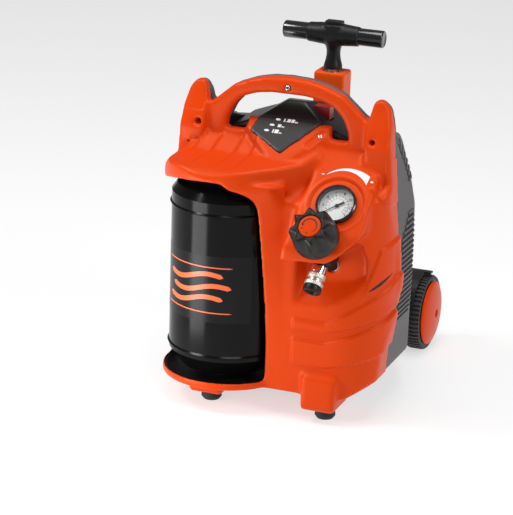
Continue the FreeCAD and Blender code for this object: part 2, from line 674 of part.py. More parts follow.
def add_motor():
    radius, shaft = S["motor_radius"], S["shaft_radius"]
    stator = cut("Stator", along_shaft("StatorPack", radius, -76, 2),
                 along_shaft("StatorBore", 25, -80, 10))
    keep(stator, "motor_stator")
    rotor = fuse("Rotor", along_shaft("RotorPack", 24, -70, -4),
                 along_shaft("Shaft", shaft, -108, 36))
    keep(rotor, "motor_rotor")
    for side, x in (("left", -82), ("right", 4)):
        bearing = cut(f"Bearing_{side}", along_shaft(f"BearingRing_{side}", radius, x, x + 6),
                      along_shaft(f"BearingBore_{side}", shaft + S["fit"], x - 2, x + 10))
        keep(bearing, f"shaft_bearing_{side}")
    blades = []
    for i in range(6):
        turn = Rotation(Vector(1, 0, 0), 60 * i)
        root = Vector(-97.5, SHAFT_Y, SHAFT_Z) + turn.multVec(Vector(0, -3, 8))
        blade = bound("Part::Box", f"Blade{i}", Length=3, Width=6, Height=28)
        blades.append(place(blade, *root, turn))
    fan = cut("Fan", fuse("FanSolid", along_shaft("FanHub", 11, -100, -90), *blades),
              along_shaft("FanBore", shaft, -110, -80))
    keep(fan, "fan")
    mounts = fuse("MotorMounts", *[
        box_at(f"Mount{i}", x, x + 14, SHAFT_Y + dy - 8, SHAFT_Y + dy + 8, PUMP_FLOOR, SHAFT_Z - 26)
        for i, (x, dy) in enumerate(((-66, -24), (-66, 24), (-22, -24), (-22, 24)))])
    keep(cut("MotorFeet", mounts, along_shaft("MountsClear", radius, -90, 12)), "motor_mounts")


CRANK_X = (14.0, 70.0)
CYLINDER_LOW, CYLINDER_HIGH = 172.0, 240.0


def add_pump():
    x0, x1 = CRANK_X
    middle = NUM["cylinder_x"]
    case = box_at("CaseBlock", x0, x1, SHAFT_Y - 42, SHAFT_Y + 42, PUMP_FLOOR, CYLINDER_LOW)
    keep(cut("Crankcase", case, along_shaft("CaseRoom", 36, x0 + 3, x1 - 3),
             along_shaft("CaseBore", 7, x0 - 2, x0 + 5),
             place(cylinder("CaseMouth", S["bore_radius"], 60), middle, SHAFT_Y, SHAFT_Z)),
         "crankcase")
    web = along_shaft("CrankWeb", 28, 24, 34)
    pin = place(cylinder("CrankPin", 4.8, 16), 34, SHAFT_Y, SHAFT_Z + NUM["pin_offset"], ALONG_X)
    keep(cut("Crank", fuse("CrankSolid", web, pin), along_shaft("CrankBore", S["shaft_radius"],
                                                                20, 40)), "crank")
    barrel = place(cylinder("Barrel", 31, CYLINDER_HIGH - CYLINDER_LOW), middle, SHAFT_Y,
                   CYLINDER_LOW)
    fins = [place(cylinder(f"BarrelFin{i}", 37, 2.5), middle, SHAFT_Y, CYLINDER_LOW + 8 + 9 * i)
            for i in range(6)]
    keep(cut("Cylinder", fuse("CylinderSolid", barrel, *fins),
             place(cylinder("Bore", S["bore_radius"], 90), middle, SHAFT_Y, CYLINDER_LOW - 5)),
         "cylinder")
    big_end = cut("BigEnd", along_shaft("BigEndRing", 24, 38, 48),
                  along_shaft("BigEndBore", NUM["pin_offset"] + 6, 30, 60))
    blade = box_at("RodBlade", 39, 47, SHAFT_Y - 7, SHAFT_Y + 7, SHAFT_Z + 22, 206)
    crown = place(cylinder("PistonCrown", 23.7, 12), middle, SHAFT_Y, 204)
    keep(fuse("PistonRod", big_end, blade, crown), "piston_rod")
    head_block = box_at("HeadBlock", middle - 36, middle + 36, SHAFT_Y - 36, SHAFT_Y + 36,
                        CYLINDER_HIGH, CYLINDER_HIGH + 8)
    head_fins = [box_at(f"HeadFin{i}", middle - 36, middle + 36, SHAFT_Y - 36 + 10 * i,
                        SHAFT_Y - 33 + 10 * i, CYLINDER_HIGH + 7, CYLINDER_HIGH + 28)
                 for i in range(8)]
    port = box_at("HeadPort", middle - 36, middle - 14, SHAFT_Y - 30, SHAFT_Y - 8,
                  CYLINDER_HIGH + 7, CYLINDER_HIGH + 30)
    intake = place(cylinder("HeadIntake", 9, 22), middle + 20, SHAFT_Y + 14, CYLINDER_HIGH + 7)
    keep(fuse("Head", head_block, *head_fins, port, intake), "cylinder_head")
    keep(place(cylinder("IntakeFilter", 17, 22), middle + 20, SHAFT_Y + 14,
               CYLINDER_HIGH + 29), "intake_filter")
    keep(place(cylinder("Capacitor", 19, 78), -95, at_back(165), 110), "capacitor")
    clip = box_at("CapacitorClip", -94, -76, at_back(175), at_back(205.5), 120, 140)
    keep(cut("CapacitorBracket", clip, place(cylinder("ClipBore", 19, 40), -95, at_back(165),
                                              110)), "capacitor_clip")


def bent_pipe(points, radius, bend):
    """A tube along straight runs joined by tangent arcs."""
    spots = [Vector(*p) for p in points]
    edges, start = [], spots[0]
    for i in range(1, len(spots) - 1):
        before = (spots[i - 1] - spots[i]).normalize()
        after = (spots[i + 1] - spots[i]).normalize()
        half = before.getAngle(after) / 2
        reach = bend / math.tan(half)
        a, b = spots[i] + before * reach, spots[i] + after * reach
        middle_way = (before + after).normalize()
        centre = spots[i] + middle_way * (bend / math.sin(half))
        top = centre - middle_way * bend
        edges += [Part.LineSegment(start, a).toShape(), Part.Arc(a, top, b).toShape()]
        start = b
    edges.append(Part.LineSegment(start, spots[-1]).toShape())
    path = Part.Wire(edges)
    ring = Part.Wire([Part.makeCircle(radius, spots[0], spots[1] - spots[0])])
    return Part.Wire(path).makePipeShell([ring], True, False)


def add_air_lines():
    check = fuse("CheckValveSolid",
                 place(cylinder("CheckThread", 5.9, 12), *bung_point(-2), BUNG_TURN),
                 place(cylinder("CheckHex", 11, 14), *bung_point(10), BUNG_TURN),
                 place(cylinder("CheckNeck", 6, 10), *bung_point(24), BUNG_TURN))
    keep(check, "check_valve")
    start = bung_point(34)
    port = Vector(NUM["cylinder_x"] - 25, SHAFT_Y - 19, CYLINDER_HIGH + 30)
    elbow = start + BUNG_WAY * 12
    over = port.z + 20
    route = [start, elbow, Vector(elbow.x, elbow.y, over), Vector(port.x, port.y, over), port]
    keep(feature("DeliveryPipe", bent_pipe(route, 4, 9)), "delivery_pipe")
    low = regulator_point(-44)
    block_shape = box_at("ManifoldBlock", low.x - 20, low.x + 34, at_back(-41), at_back(-15),
                         low.z - 14, low.z + 14)
    keep(cut("ManifoldCut", block_shape, place(cylinder("ManifoldPort", 7, 31),
                                               *low, SQUARE_TO_PANEL)), "manifold")
    top, low_y = low.z + 14, at_back(-28)
    keep(fuse("SafetyValveSolid",
              place(cylinder("SafetyHex", 7, 10), low.x + 24, low_y, top),
              place(cylinder("SafetyStem", 2, 24), low.x + 24, low_y, top)),
         "safety_valve")
    ring = cut("SafetyRingCut",
               place(cylinder("SafetyCap", 5, 10), low.x + 24, low_y, top + 12),
               place(cylinder("SafetyHole", 2 + NUM["fit"], 20), low.x + 24, low_y, top + 5))
    keep(ring, "safety_ring")


# ---- switch, cable inlet ---------------------------------------------------------------

SWITCH_LOW, SWITCH_TOP = 384.0, 405.0


def add_switch():
    x, y = SWITCH[0], at_back(SWITCH[1])
    case = box_at("SwitchCase", x - 20, x + 11, y - 20, y + 24, 373, SWITCH_LOW)
    stem_room = box_at("SwitchRoom", x - 6.05, x + 6.05, y - 4.05, y + 4.05, 374, SWITCH_LOW + 2)
    keep(cut("PressureSwitch", case, stem_room), "pressure_switch")
    half_x, half_y = SWITCH_SIZE[0] / 2, SWITCH_SIZE[1] / 2
    cap = box_at("ButtonCap", x - half_x, x + half_x, y - half_y, y + half_y, SWITCH_LOW + 4,
                 SWITCH_TOP)
    stem = box_at("ButtonStem", x - 6, x + 6, y - 4, y + 4, 379, SWITCH_LOW + 5)
    keep(fuse("OnOffButton", cap, stem), "on_off_button")
    gland_y = at_back(206)
    gland = turned("GlandBody", [(3.6, -8), (10.5, -8), (10.5, -0.2), (7.9, -0.2), (7.9, 3.2),
                                 (11, 3.2), (9, 8), (6.5, 24), (3.6, 24)])
    keep(place(gland, -60, gland_y, 90, ALONG_Y), "cable_gland")


# ---- trolley ---------------------------------------------------------------------------


def across(name, radius, x0, x1, back, z):
    """A cylinder along X."""
    return place(cylinder(name, radius, x1 - x0), x0, at_back(back), z, ALONG_X)


def add_handle():
    """Guide tube fixed in the casing; lift tube, grips, clamp and button slide in it."""
    y = at_back(NUM["pole_back"])
    guide, lift = S["guide_radius"], S["lift_radius"]
    sleeve_low, sleeve_top = 330.0, 422.0
    tube = cut("GuideTube", place(cylinder("GuideOuter", guide, 360), 0, y, 60),
               place(cylinder("GuideInner", number(lift) + NUM["fit"], 380), 0, y, 50))
    keep(tube, "guide_tube")
    collar = box_at("CollarBlock", -22, 22, y - 18, y + 18, sleeve_low, sleeve_top)
    slope = prism_x([(140, 300), (186, 300), (186, 338.3), (140, 352.9)], -30, 30)
    collar_bore = place(cylinder("CollarBore", guide, 120), 0, y, 320)
    roof = feature("CollarSeat", slope)
    keep(cut("Collar", collar, collar_bore, roof), "handle_collar")
    bar_z, bar_r = NUM["bar_z"], NUM["bar_radius"]
    lift_tube = place(cylinder("LiftTube", lift, bar_z - 10 - NUM["lift_low"]), 0, y,
                      NUM["lift_low"])
    keep(lift_tube, "lift_tube")
    neck = turned("Neck", [(lift, 424), (13, 424), (12.4, 434), (10.2, 446), (lift + 0.8, 454),
                           (lift + 0.8, 457.5), (lift, 457.5)])
    keep(place(neck, 0, y, 0), "handle_neck")
    half = NUM["clamp_half"]
    clamp = fuse("ClampSolid", across("ClampBar", bar_r + 2.2, -half, half, 163, bar_z),
                 box_at("ClampStem", -14, 14, y - 13, y + 13, 457.5, bar_z + 2))
    button_room = box_at("ButtonRoom", -12.1, 12.1, y - 7.1, y + 7.1, bar_z + 7, bar_z + 30)
    keep(cut("Clamp", clamp, across("ClampBore", bar_r, -half - 5, half + 5, 163, bar_z),
             button_room, place(cylinder("ClampPole", lift, 30), 0, y, 440)), "handle_clamp")
    keep(box_at("ReleaseButton", -12, 12, y - 7, y + 7, bar_z + bar_r + 0.6, bar_z + 19),
         "release_button")
    core_bar = across("GripCore", bar_r, -NUM["bar_half"] + 4, NUM["bar_half"] - 4, 163, bar_z)
    ends = []
    for sign, name in ((-1, "Left"), (1, "Right")):
        low = -NUM["bar_half"] if sign < 0 else half + 3
        ends.append(across(f"Grip{name}", bar_r + 1, low, low + NUM["bar_half"] - half - 3, 163,
                           bar_z))
    pole_hole = place(cylinder("GripPole", lift, 30), 0, y, 440)
    notch = box_at("GripNotch", -12.1, 12.1, y - 7.1, y + 7.1, bar_z + 8, bar_z + 30)
    keep(cut("Grips", fuse("GripBar", core_bar, *ends), pole_hole, notch), "handle_grips")


def add_wheels():
    radius, face_x, width = S["wheel_radius"], NUM["wheel_face"], NUM["tyre_width"]
    axle = S["axle_radius"]
    back, z = NUM["axle_back"], NUM["wheel_radius"]
    inner_x = face_x - width
    keep(across("Axle", axle, -face_x + 2, face_x - 2, back, z), "axle")
    arms = [box_at(f"Arm{i}", x, x + 12, at_back(209), at_back(back + 14), z - 14, z + 14)
            for i, x in enumerate((-98, 86))]
    bar = box_at("ArmBar", -98, 98, at_back(209), at_back(213), z - 10, z + 14)
    keep(cut("AxleBracket", fuse("BracketSolid", bar, *arms),
             across("BracketBore", axle, -120, 120, back, z)), "axle_bracket")
    for side, sign in (("left", -1), ("right", 1)):
        turn = Rotation(Vector(0, 1, 0), 90 * sign)
        spot = (sign * inner_x, at_back(back), z)
        rim_r = radius - 7
        tyre = turned(f"Tyre_{side}", [
            (rim_r, 1), (radius - 3, 0), (radius, 3), (radius, width - 3), (radius - 3, width),
            (rim_r, width - 1)])
        keep(place(tyre, *spot, turn), f"wheel_tyre_{side}")
        bore = axle + S["fit"]
        rim = turned(f"Rim_{side}", [
            (bore, -3), (14, -3), (14, 9), (rim_r - 5, 9), (rim_r - 5, 2), (rim_r, 1),
            (rim_r, width - 1), (rim_r - 4, width - 1), (rim_r - 4, 16), (bore, 16)])
        keep(place(rim, *spot, turn), f"wheel_rim_{side}")
        plug_r = rim_r - 4.1
        cap = turned(f"Cap_{side}", [
            (0, 23.4), (10, 23.4), (plug_r, 17), (plug_r, 25.2), (plug_r + 2.5, 25.2),
            (plug_r + 2.5, 27.5), (plug_r - 2, 31), (30, 34.5), (16, 37), (6, 37.5), (6, 33),
            (0, 33)])
        keep(place(cap, *spot, turn), f"hub_cap_{side}")


def add_feet():
    for side, sign in (("left", -1), ("right", 1)):
        foot = turned(f"Foot_{side}", [
            (0, 0), (S["foot_radius"] - 3, 0), (S["foot_radius"], 4),
            (S["foot_radius"] - 1, S["foot_height"]), (0, S["foot_height"])])
        keep(place(foot, sign * NUM["foot_x"], at_back(NUM["foot_back"]), 0),
             f"front_foot_{side}")


def add_screws():
    """The visible fasteners of the handle and the horns, and the plate's corner screw."""
    spots = [(0, -12, 436), (122, -14, 379), (-122, -14, 379)]
    heads = [place(cylinder(f"Screw{i}", 4.2, 3), x, at_back(back) - 3, z, ALONG_Y)
             for i, (x, back, z) in enumerate(spots)]
    keep(fuse("CasingScrews", *heads), "casing_screws")


for build_group in (add_casing, add_tank, add_drain, add_regulator, add_gauge, add_coupler,
                    add_motor, add_pump, add_air_lines, add_switch, add_handle, add_wheels,
                    add_feet, add_screws):
    build_group()


def finish():
    """Recomputes, checks every object, and writes one STEP file for each sub-part."""
    doc.recompute()
    faulty = [o.Label for o in doc.Objects if {"Invalid", "Error"} & set(o.State)]
    for part in PARTS:
        if part.Shape.isNull() or not part.Shape.isValid():
            faulty.append(part.Label)
    if faulty:
        raise RuntimeError("faulty objects: " + ", ".join(sorted(set(faulty))))
    os.makedirs("parts", exist_ok=True)
    for part in PARTS:
        part.Shape.exportStep(f"parts/{part.Label}.step")
    print(len(PARTS), "sub-parts written")


finish()
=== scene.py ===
import math

import bmesh
import bpy
import numpy as np
from mathutils import Matrix, Vector
from mathutils.bvhtree import BVHTree


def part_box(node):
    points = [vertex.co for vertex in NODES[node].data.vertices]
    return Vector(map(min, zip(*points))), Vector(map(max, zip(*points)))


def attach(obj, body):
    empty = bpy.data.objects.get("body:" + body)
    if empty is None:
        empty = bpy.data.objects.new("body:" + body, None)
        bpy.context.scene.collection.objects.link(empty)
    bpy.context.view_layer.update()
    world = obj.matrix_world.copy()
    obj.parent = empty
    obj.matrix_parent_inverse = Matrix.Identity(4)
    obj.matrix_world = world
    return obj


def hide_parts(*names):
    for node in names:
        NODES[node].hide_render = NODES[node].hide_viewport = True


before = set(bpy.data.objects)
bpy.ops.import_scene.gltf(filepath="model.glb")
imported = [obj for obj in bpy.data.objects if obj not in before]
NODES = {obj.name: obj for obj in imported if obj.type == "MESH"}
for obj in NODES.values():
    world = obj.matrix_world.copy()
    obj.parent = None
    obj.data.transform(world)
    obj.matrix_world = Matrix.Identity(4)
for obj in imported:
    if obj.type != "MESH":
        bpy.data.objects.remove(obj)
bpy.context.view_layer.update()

# Upright trolley air compressor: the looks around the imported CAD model, on the frame's own axes.
# Blender works in metres. Outlines, profiles and at() hold millimetres and are scaled by MM.
# "Back" is a distance behind the plane where the front and rear shells meet.

SCENE = bpy.context.scene
MM = 0.001
PARTING_Y = -0.0825
SIDES = (("left", -1), ("right", 1))
ACROSS = (1, 0, 0)
# Grid sizes of the remeshed skins, in metres.
VOXEL = {"front_shell_skin": 0.0019, "rear_shell_skin": 0.0022, "top_cover_skin": 0.0016,
         "handle_head": 0.0011, "release_pad": 0.0007, "collar_skin": 0.0013}


def at(x, back, z):
    """A point from its x, distance behind the parting plane and height, in millimetres."""
    return Vector((x * MM, PARTING_Y + back * MM, z * MM))


def in_mm(co):
    """The x, back and z columns of an array of points in metres."""
    return co[:, 0] / MM, (co[:, 1] - PARTING_Y) / MM, co[:, 2] / MM


def polar(radius, degrees):
    angle = math.radians(degrees)
    return radius * math.cos(angle), radius * math.sin(angle)


# ---- camera, floor and light ----------------------------------------------------------------

AZIMUTH, ELEVATION, ROLL = (math.radians(a) for a in (20.6768, 18.1733, 1.8483))
EYE = Vector((1.0325, -2.92865, 1.19054))
LENS_MM, SENSOR_MM = 165.81, 36.0


def add_camera():
    """The view from the front right, a little above, with a slight roll."""
    back = Vector((math.sin(AZIMUTH) * math.cos(ELEVATION),
                   -math.cos(AZIMUTH) * math.cos(ELEVATION), math.sin(ELEVATION)))
    right = Vector((math.cos(AZIMUTH), math.sin(AZIMUTH), 0))
    up = back.cross(right)
    turned_right = right * math.cos(ROLL) + up * math.sin(ROLL)
    turned_up = up * math.cos(ROLL) - right * math.sin(ROLL)
    data = bpy.data.cameras.new("camera")
    data.lens, data.sensor_width = LENS_MM, SENSOR_MM
    data.clip_start, data.clip_end = 0.05, 50
    camera = bpy.data.objects.new("camera", data)
    matrix = Matrix((turned_right, turned_up, back)).transposed().to_4x4()
    matrix.translation = EYE
    camera.matrix_world = matrix
    SCENE.collection.objects.link(camera)
    SCENE.camera = camera


def area_light(name, spot, target, size, power, height=None):
    data = bpy.data.lights.new(name, "AREA")
    data.energy = power
    data.shape, data.size, data.size_y = "RECTANGLE", size, height or size
    lamp = bpy.data.objects.new(name, data)
    lamp.location = spot
    way = Vector(target) - Vector(spot)
    lamp.rotation_euler = way.to_track_quat("-Z", "Y").to_euler()
    SCENE.collection.objects.link(lamp)
    return lamp


FLOOR_HALF = 60
AIM = (0, -0.05, 0.22)
SOFT_BOXES = (                        # name, place, side, watts
    ("key", (-1.5, -0.8, 2.2), 0.7, 28),
    ("fill", (2.1, -0.75, 1.6), 1.0, 24),
    ("top", (0.2, -0.2, 2.4), 1.3, 27),
)


def add_stage():
    """A pale floor, a white surround, soft boxes, and a strip whose glint runs down the tank."""
    ends = (-FLOOR_HALF, FLOOR_HALF)
    floor = grid_object("floor", [[Vector((x, y, 0)) for x in ends] for y in ends])
    paper = plain("floor_paper", (0.42, 0.42, 0.42), 0.9)
    shader = paper.node_tree.nodes["Principled BSDF"]
    shader.inputs["Specular IOR Level"].default_value = 0.1
    shader.inputs["Emission Color"].default_value = (1, 1, 1, 1)
    shader.inputs["Emission Strength"].default_value = 0.6
    floor.data.materials.append(paper)
    world = bpy.data.worlds.new("studio")
    world.use_nodes = True
    shade = world.node_tree.nodes["Background"]
    shade.inputs["Color"].default_value = (1, 1, 1, 1)
    shade.inputs["Strength"].default_value = 0.2
    SCENE.world = world
    SCENE.view_settings.view_transform = "Standard"
    for name, spot, size, power in SOFT_BOXES:
        area_light(name, spot, AIM, size, power)
    strip = area_light("strip", (-0.288, -0.418, 0.13), (-0.08, -0.18, 0.15), 0.2, 1.3, 0.26)
    strip.visible_camera = False


# ---- materials ------------------------------------------------------------------------------

COAT_ROUGHNESS = 0.06
BUMP_DEPTH = 0.4 * MM
LENS_GLOSS = 0.05

def plain(name, colour, rough, metal=0.0):
    """A Principled material of one colour."""
    made = bpy.data.materials.new(name)
    made.use_nodes = True
    shader = made.node_tree.nodes["Principled BSDF"]
    shader.inputs["Base Color"].default_value = (*colour, 1)
    shader.inputs["Roughness"].default_value = rough
    shader.inputs["Metallic"].default_value = metal
    return made


def surface(name, colour, rough, metal=0.0, coat=0.0, grain=(900, 0.08), patch=(14, 0.06),
            wear=0.04, specular=0.5, glint=None):
    """A Principled material with fine bump, uneven roughness and a slow drift of colour: grain is
    the bump's (scale, strength), patch the drift's (scale, share), wear the roughness's spread."""
    made = plain(name, colour, rough, metal)
    tree = made.node_tree
    shader = tree.nodes["Principled BSDF"]
    shader.inputs["Coat Weight"].default_value = coat
    shader.inputs["Coat Roughness"].default_value = COAT_ROUGHNESS
    shader.inputs["Specular IOR Level"].default_value = specular
    if glint:
        shader.inputs["Specular Tint"].default_value = (*glint, 1)
    place = tree.nodes.new("ShaderNodeTexCoord")

    def noise(scale, detail):
        node = tree.nodes.new("ShaderNodeTexNoise")
        node.inputs["Scale"].default_value = scale
        node.inputs["Detail"].default_value = detail
        tree.links.new(place.outputs["Object"], node.inputs["Vector"])
        return node

    slow = noise(patch[0], 3)
    ramp = tree.nodes.new("ShaderNodeMapRange")
    ramp.inputs["To Min"].default_value = 1 - patch[1]
    ramp.inputs["To Max"].default_value = 1 + patch[1]
    tree.links.new(slow.outputs["Fac"], ramp.inputs["Value"])
    tint = tree.nodes.new("ShaderNodeVectorMath")
    tint.operation = "SCALE"
    tint.inputs[0].default_value = colour
    tree.links.new(ramp.outputs["Result"], tint.inputs["Scale"])
    tree.links.new(tint.outputs["Vector"], shader.inputs["Base Color"])
    fine = noise(grain[0], 2)
    spread = tree.nodes.new("ShaderNodeMapRange")
    spread.inputs["To Min"].default_value = max(0.02, rough - wear)
    spread.inputs["To Max"].default_value = min(1, rough + wear)
    mixed = tree.nodes.new("ShaderNodeMath")
    mixed.operation = "ADD"
    half = tree.nodes.new("ShaderNodeMath")
    half.operation = "MULTIPLY"
    half.inputs[1].default_value = 0.5
    tree.links.new(slow.outputs["Fac"], mixed.inputs[0])
    tree.links.new(fine.outputs["Fac"], mixed.inputs[1])
    tree.links.new(mixed.outputs[0], half.inputs[0])
    tree.links.new(half.outputs[0], spread.inputs["Value"])
    tree.links.new(spread.outputs["Result"], shader.inputs["Roughness"])
    bump = tree.nodes.new("ShaderNodeBump")
    bump.inputs["Strength"].default_value = grain[1]
    bump.inputs["Distance"].default_value = BUMP_DEPTH
    tree.links.new(fine.outputs["Fac"], bump.inputs["Height"])
    tree.links.new(bump.outputs["Normal"], shader.inputs["Normal"])
    return made


def lens_material():
    """Clear plastic: see-through, with a soft glint."""
    made = bpy.data.materials.new("lens")
    made.use_nodes = True
    tree = made.node_tree
    tree.nodes.clear()
    out = tree.nodes.new("ShaderNodeOutputMaterial")
    mix = tree.nodes.new("ShaderNodeMixShader")
    clear = tree.nodes.new("ShaderNodeBsdfTransparent")
    gloss = tree.nodes.new("ShaderNodeBsdfGlossy")
    gloss.inputs["Roughness"].default_value = 0.06
    mix.inputs["Fac"].default_value = LENS_GLOSS
    tree.links.new(clear.outputs["BSDF"], mix.inputs[1])
    tree.links.new(gloss.outputs["BSDF"], mix.inputs[2])
    tree.links.new(mix.outputs["Shader"], out.inputs["Surface"])
    return made


ORANGE, WARM = (0.665, 0.046, 0.002), (1.0, 0.5, 0.25)
MOULDED = {"patch": (9, 0.03), "glint": WARM}
INK = {"grain": (900, 0.02)}
# base colour, roughness and the other settings of surface()
LOOKS = {
    "orange_shell": (ORANGE, 0.4, {"grain": (1400, 0.06), "specular": 0.4, **MOULDED}),
    "orange_trim": (ORANGE, 0.36, {"grain": (1400, 0.05), "specular": 0.2, **MOULDED}),
    # a lighter copy of the orange for the collar: painted light where its faces fall too dark
    "orange_painted_light": ((0.86, 0.085, 0.005), 0.4,
                    {"grain": (1400, 0.05), "specular": 0.4, **MOULDED}),
    "grey_shell": ((0.098, 0.093, 0.092), 0.55, {"grain": (700, 0.3), "specular": 0.4}),
    "dark_cover": ((0.017, 0.0155, 0.0155), 0.34, {"grain": (900, 0.12), "specular": 0.4}),
    "black_plastic": ((0.0075, 0.007, 0.007), 0.4, {"grain": (900, 0.18), "specular": 0.3}),
    "gloss_black": ((0.006, 0.006, 0.008), 0.2, {"grain": (60, 0.02), "coat": 0.7}),
    "red_plastic": ((0.30, 0.012, 0.008), 0.35, {}),
    "tank_paint": ((0.003, 0.0028, 0.0027), 0.15,
                   {"grain": (220, 0.03), "wear": 0.03, "specular": 0.13}),
    "chrome": ((0.72, 0.72, 0.74), 0.14, {"metal": 1, "grain": (500, 0.04)}),
    "nickel": ((0.66, 0.62, 0.55), 0.4, {"metal": 1, "grain": (500, 0.1)}),
    "steel": ((0.5, 0.5, 0.52), 0.3, {"metal": 1, "grain": (600, 0.1)}),
    "brass": ((0.66, 0.44, 0.16), 0.26, {"metal": 1, "grain": (600, 0.08)}),
    "aluminium": ((0.6, 0.6, 0.62), 0.45, {"metal": 1, "grain": (350, 0.4)}),
    "iron": ((0.12, 0.12, 0.13), 0.55, {"metal": 0.6, "grain": (350, 0.4)}),
    "rubber": ((0.014, 0.014, 0.015), 0.7, {"grain": (700, 0.25)}),
    "tyre": ((0.034, 0.033, 0.034), 0.66, {"grain": (700, 0.3)}),
    "dial_white": ((0.85, 0.85, 0.84), 0.45, INK),
    "label": ((0.020, 0.019, 0.020), 0.25, {"grain": (300, 0.03), "coat": 0.3}),
    "sticker": ((0.0055, 0.0055, 0.0068), 0.26, {"grain": (300, 0.03), "specular": 0.16}),
    "ink_white": ((0.8, 0.8, 0.8), 0.4, INK),
    "ink_black": ((0.01, 0.01, 0.01), 0.4, INK),
    "ink_red": ((0.35, 0.02, 0.01), 0.35, INK),
    "ink_orange": ((0.80, 0.12, 0.02), 0.35, INK),
    # painted shade: near black standing in for the shade inside holes, slots and gaps
    "painted_hole_shade": ((0.008, 0.008, 0.008), 0.7, {}),
}
MATERIALS = {name: surface(name, colour, rough, **more)
             for name, (colour, rough, more) in LOOKS.items()}
MATERIALS["lens"] = lens_material()


def dress_nodes():
    """Each CAD node takes the material of its own slot; the casing screws and the fenders take
    darker ones, as painted shade in the screw holes and round the tyres.
    """
    for thing in NODES.values():
        for holder in thing.material_slots:
            found = holder.material.name.split(".")[0] if holder.material else ""
            if found in MATERIALS:
                holder.material = MATERIALS[found]
    # the casing screws take near black and the fenders dark grey: painted shade in the screw holes
    # and round the tyres
    for node, material in (("casing_screws", "painted_hole_shade"), ("fender_left", "dark_cover"),
                           ("fender_right", "dark_cover")):
        NODES[node].material_slots[0].material = MATERIALS[material]


# ---- mesh makers ----------------------------------------------------------------------------


def finish_mesh(name, mesh, material, body=None, smooth=True, crease=None):
    """An object for a mesh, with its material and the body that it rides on. Edges
    sharper than crease degrees stay sharp."""
    thing = bpy.data.objects.new(name, mesh)
    SCENE.collection.objects.link(thing)
    mesh.materials.clear()
    mesh.materials.append(MATERIALS[material])
    if smooth:
        mesh.polygons.foreach_set("use_smooth", [True] * len(mesh.polygons))
    if crease is not None:
        mesh.set_sharp_from_angle(angle=math.radians(crease))
    if body:
        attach(thing, body)
    return thing


def mesh_of(verts, faces):
    mesh = bpy.data.meshes.new("made")
    mesh.from_pydata([tuple(v) for v in verts], [], faces)
    mesh.update()
    return mesh


def closed_mesh(verts, faces, split=False):
    """A mesh whose faces all turn outward; split cuts its many-sided faces into triangles."""
    mesh = mesh_of(verts, faces)
    made = bmesh.new()
    made.from_mesh(mesh)
    bmesh.ops.recalc_face_normals(made, faces=made.faces)
    if split:
        bmesh.ops.triangulate(made, faces=[f for f in made.faces if len(f.verts) > 4])
    made.to_mesh(mesh)
    made.free()
    return mesh


def joined(name, sources):
    """One mesh from copies of several."""
    made = bmesh.new()
    for source in sources:
        made.from_mesh(source)
    mesh = bpy.data.meshes.new(name)
    made.to_mesh(mesh)
    made.free()
    return mesh


def grid_object(name, rows):
    """An open sheet through rows of points."""
    width = len(rows[0])
    verts = [p for row in rows for p in row]
    faces = [(i * width + j, i * width + j + 1, (i + 1) * width + j + 1, (i + 1) * width + j)
             for i in range(len(rows) - 1) for j in range(width - 1)]
    thing = bpy.data.objects.new(name, mesh_of(verts, faces))
    SCENE.collection.objects.link(thing)
    return thing


def frame_for(way):
    """A rotation whose Z is the given direction."""
    return Vector(way).to_track_quat("Z", "Y").to_matrix()


def lathe(profile, origin, way, steps=96, shape=None):
    """A closed turned mesh: (radius, along) points in mm about an axis, from the axis back to
    the axis or round to the start. shape(angle, radius, along) may return another radius."""
    turn = frame_for(way)
    verts, faces, rings = [], [], []
    for radius, along in profile:
        if radius < 1e-6:
            rings.append([len(verts)])
            verts.append(Vector(origin) + turn @ Vector((0, 0, along * MM)))
            continue
        ring = []
        for i in range(steps):
            angle = 2 * math.pi * i / steps
            r = shape(angle, radius, along) if shape else radius
            spot = Vector((r * math.cos(angle), r * math.sin(angle), along)) * MM
            ring.append(len(verts))
            verts.append(Vector(origin) + turn @ spot)
        rings.append(ring)
    pairs = list(zip(rings, rings[1:]))
    if len(rings[0]) > 1:
        pairs.append((rings[-1], rings[0]))
    for low, high in pairs:
        for i in range(steps):
            j = (i + 1) % steps
            if len(low) == 1 and len(high) > 1:
                faces.append((low[0], high[i], high[j]))
            elif len(high) == 1 and len(low) > 1:
                faces.append((low[i], high[0], low[j]))
            elif len(low) > 1:
                faces.append((low[i], high[i], high[j], low[j]))
    return closed_mesh(verts, faces)


def rounded(points, radius, steps=4):
    """An open profile whose inner corners are rounded."""
    made = [points[0]]
    for before, here, after in zip(points, points[1:], points[2:]):
        a, b, c = (Vector((*p, 0)) for p in (before, here, after))
        reach = min(radius, (a - b).length * 0.45, (c - b).length * 0.45)
        start, end = b + (a - b).normalized() * reach, b + (c - b).normalized() * reach
        for i in range(steps + 1):
            t = i / steps
            p = start * (1 - t) ** 2 + b * 2 * t * (1 - t) + end * t ** 2
            made.append((p.x, p.y))
    return made + [points[-1]]


def plate(outline, origin, across, up, thick, name, material, body, sink=0.05):
    """A flat closed plate: (u, v) outline in mm on the plane of two directions."""
    across, up = Vector(across).normalized(), Vector(up).normalized()
    out = across.cross(up).normalized()
    base = [Vector(origin) + (across * u + up * v) * MM for u, v in outline]
    verts = [p - out * sink * MM for p in base] + [p + out * thick * MM for p in base]
    n = len(outline)
    faces = [tuple(range(n))[::-1], tuple(range(n, 2 * n))]
    faces += [(i, (i + 1) % n, n + (i + 1) % n, n + i) for i in range(n)]
    mesh = closed_mesh(verts, faces, split=True)
    return finish_mesh(name, mesh, material, body, smooth=False)


def oval(x, up, wide, tall):
    """A 16-sided outline about a point, from its half sizes."""
    return [(x + wide * math.cos(a * math.pi / 8), up + tall * math.sin(a * math.pi / 8))
            for a in range(16)]


def coordinates(mesh):
    co = np.zeros(len(mesh.vertices) * 3)
    mesh.vertices.foreach_get("co", co)
    return co.reshape(-1, 3)


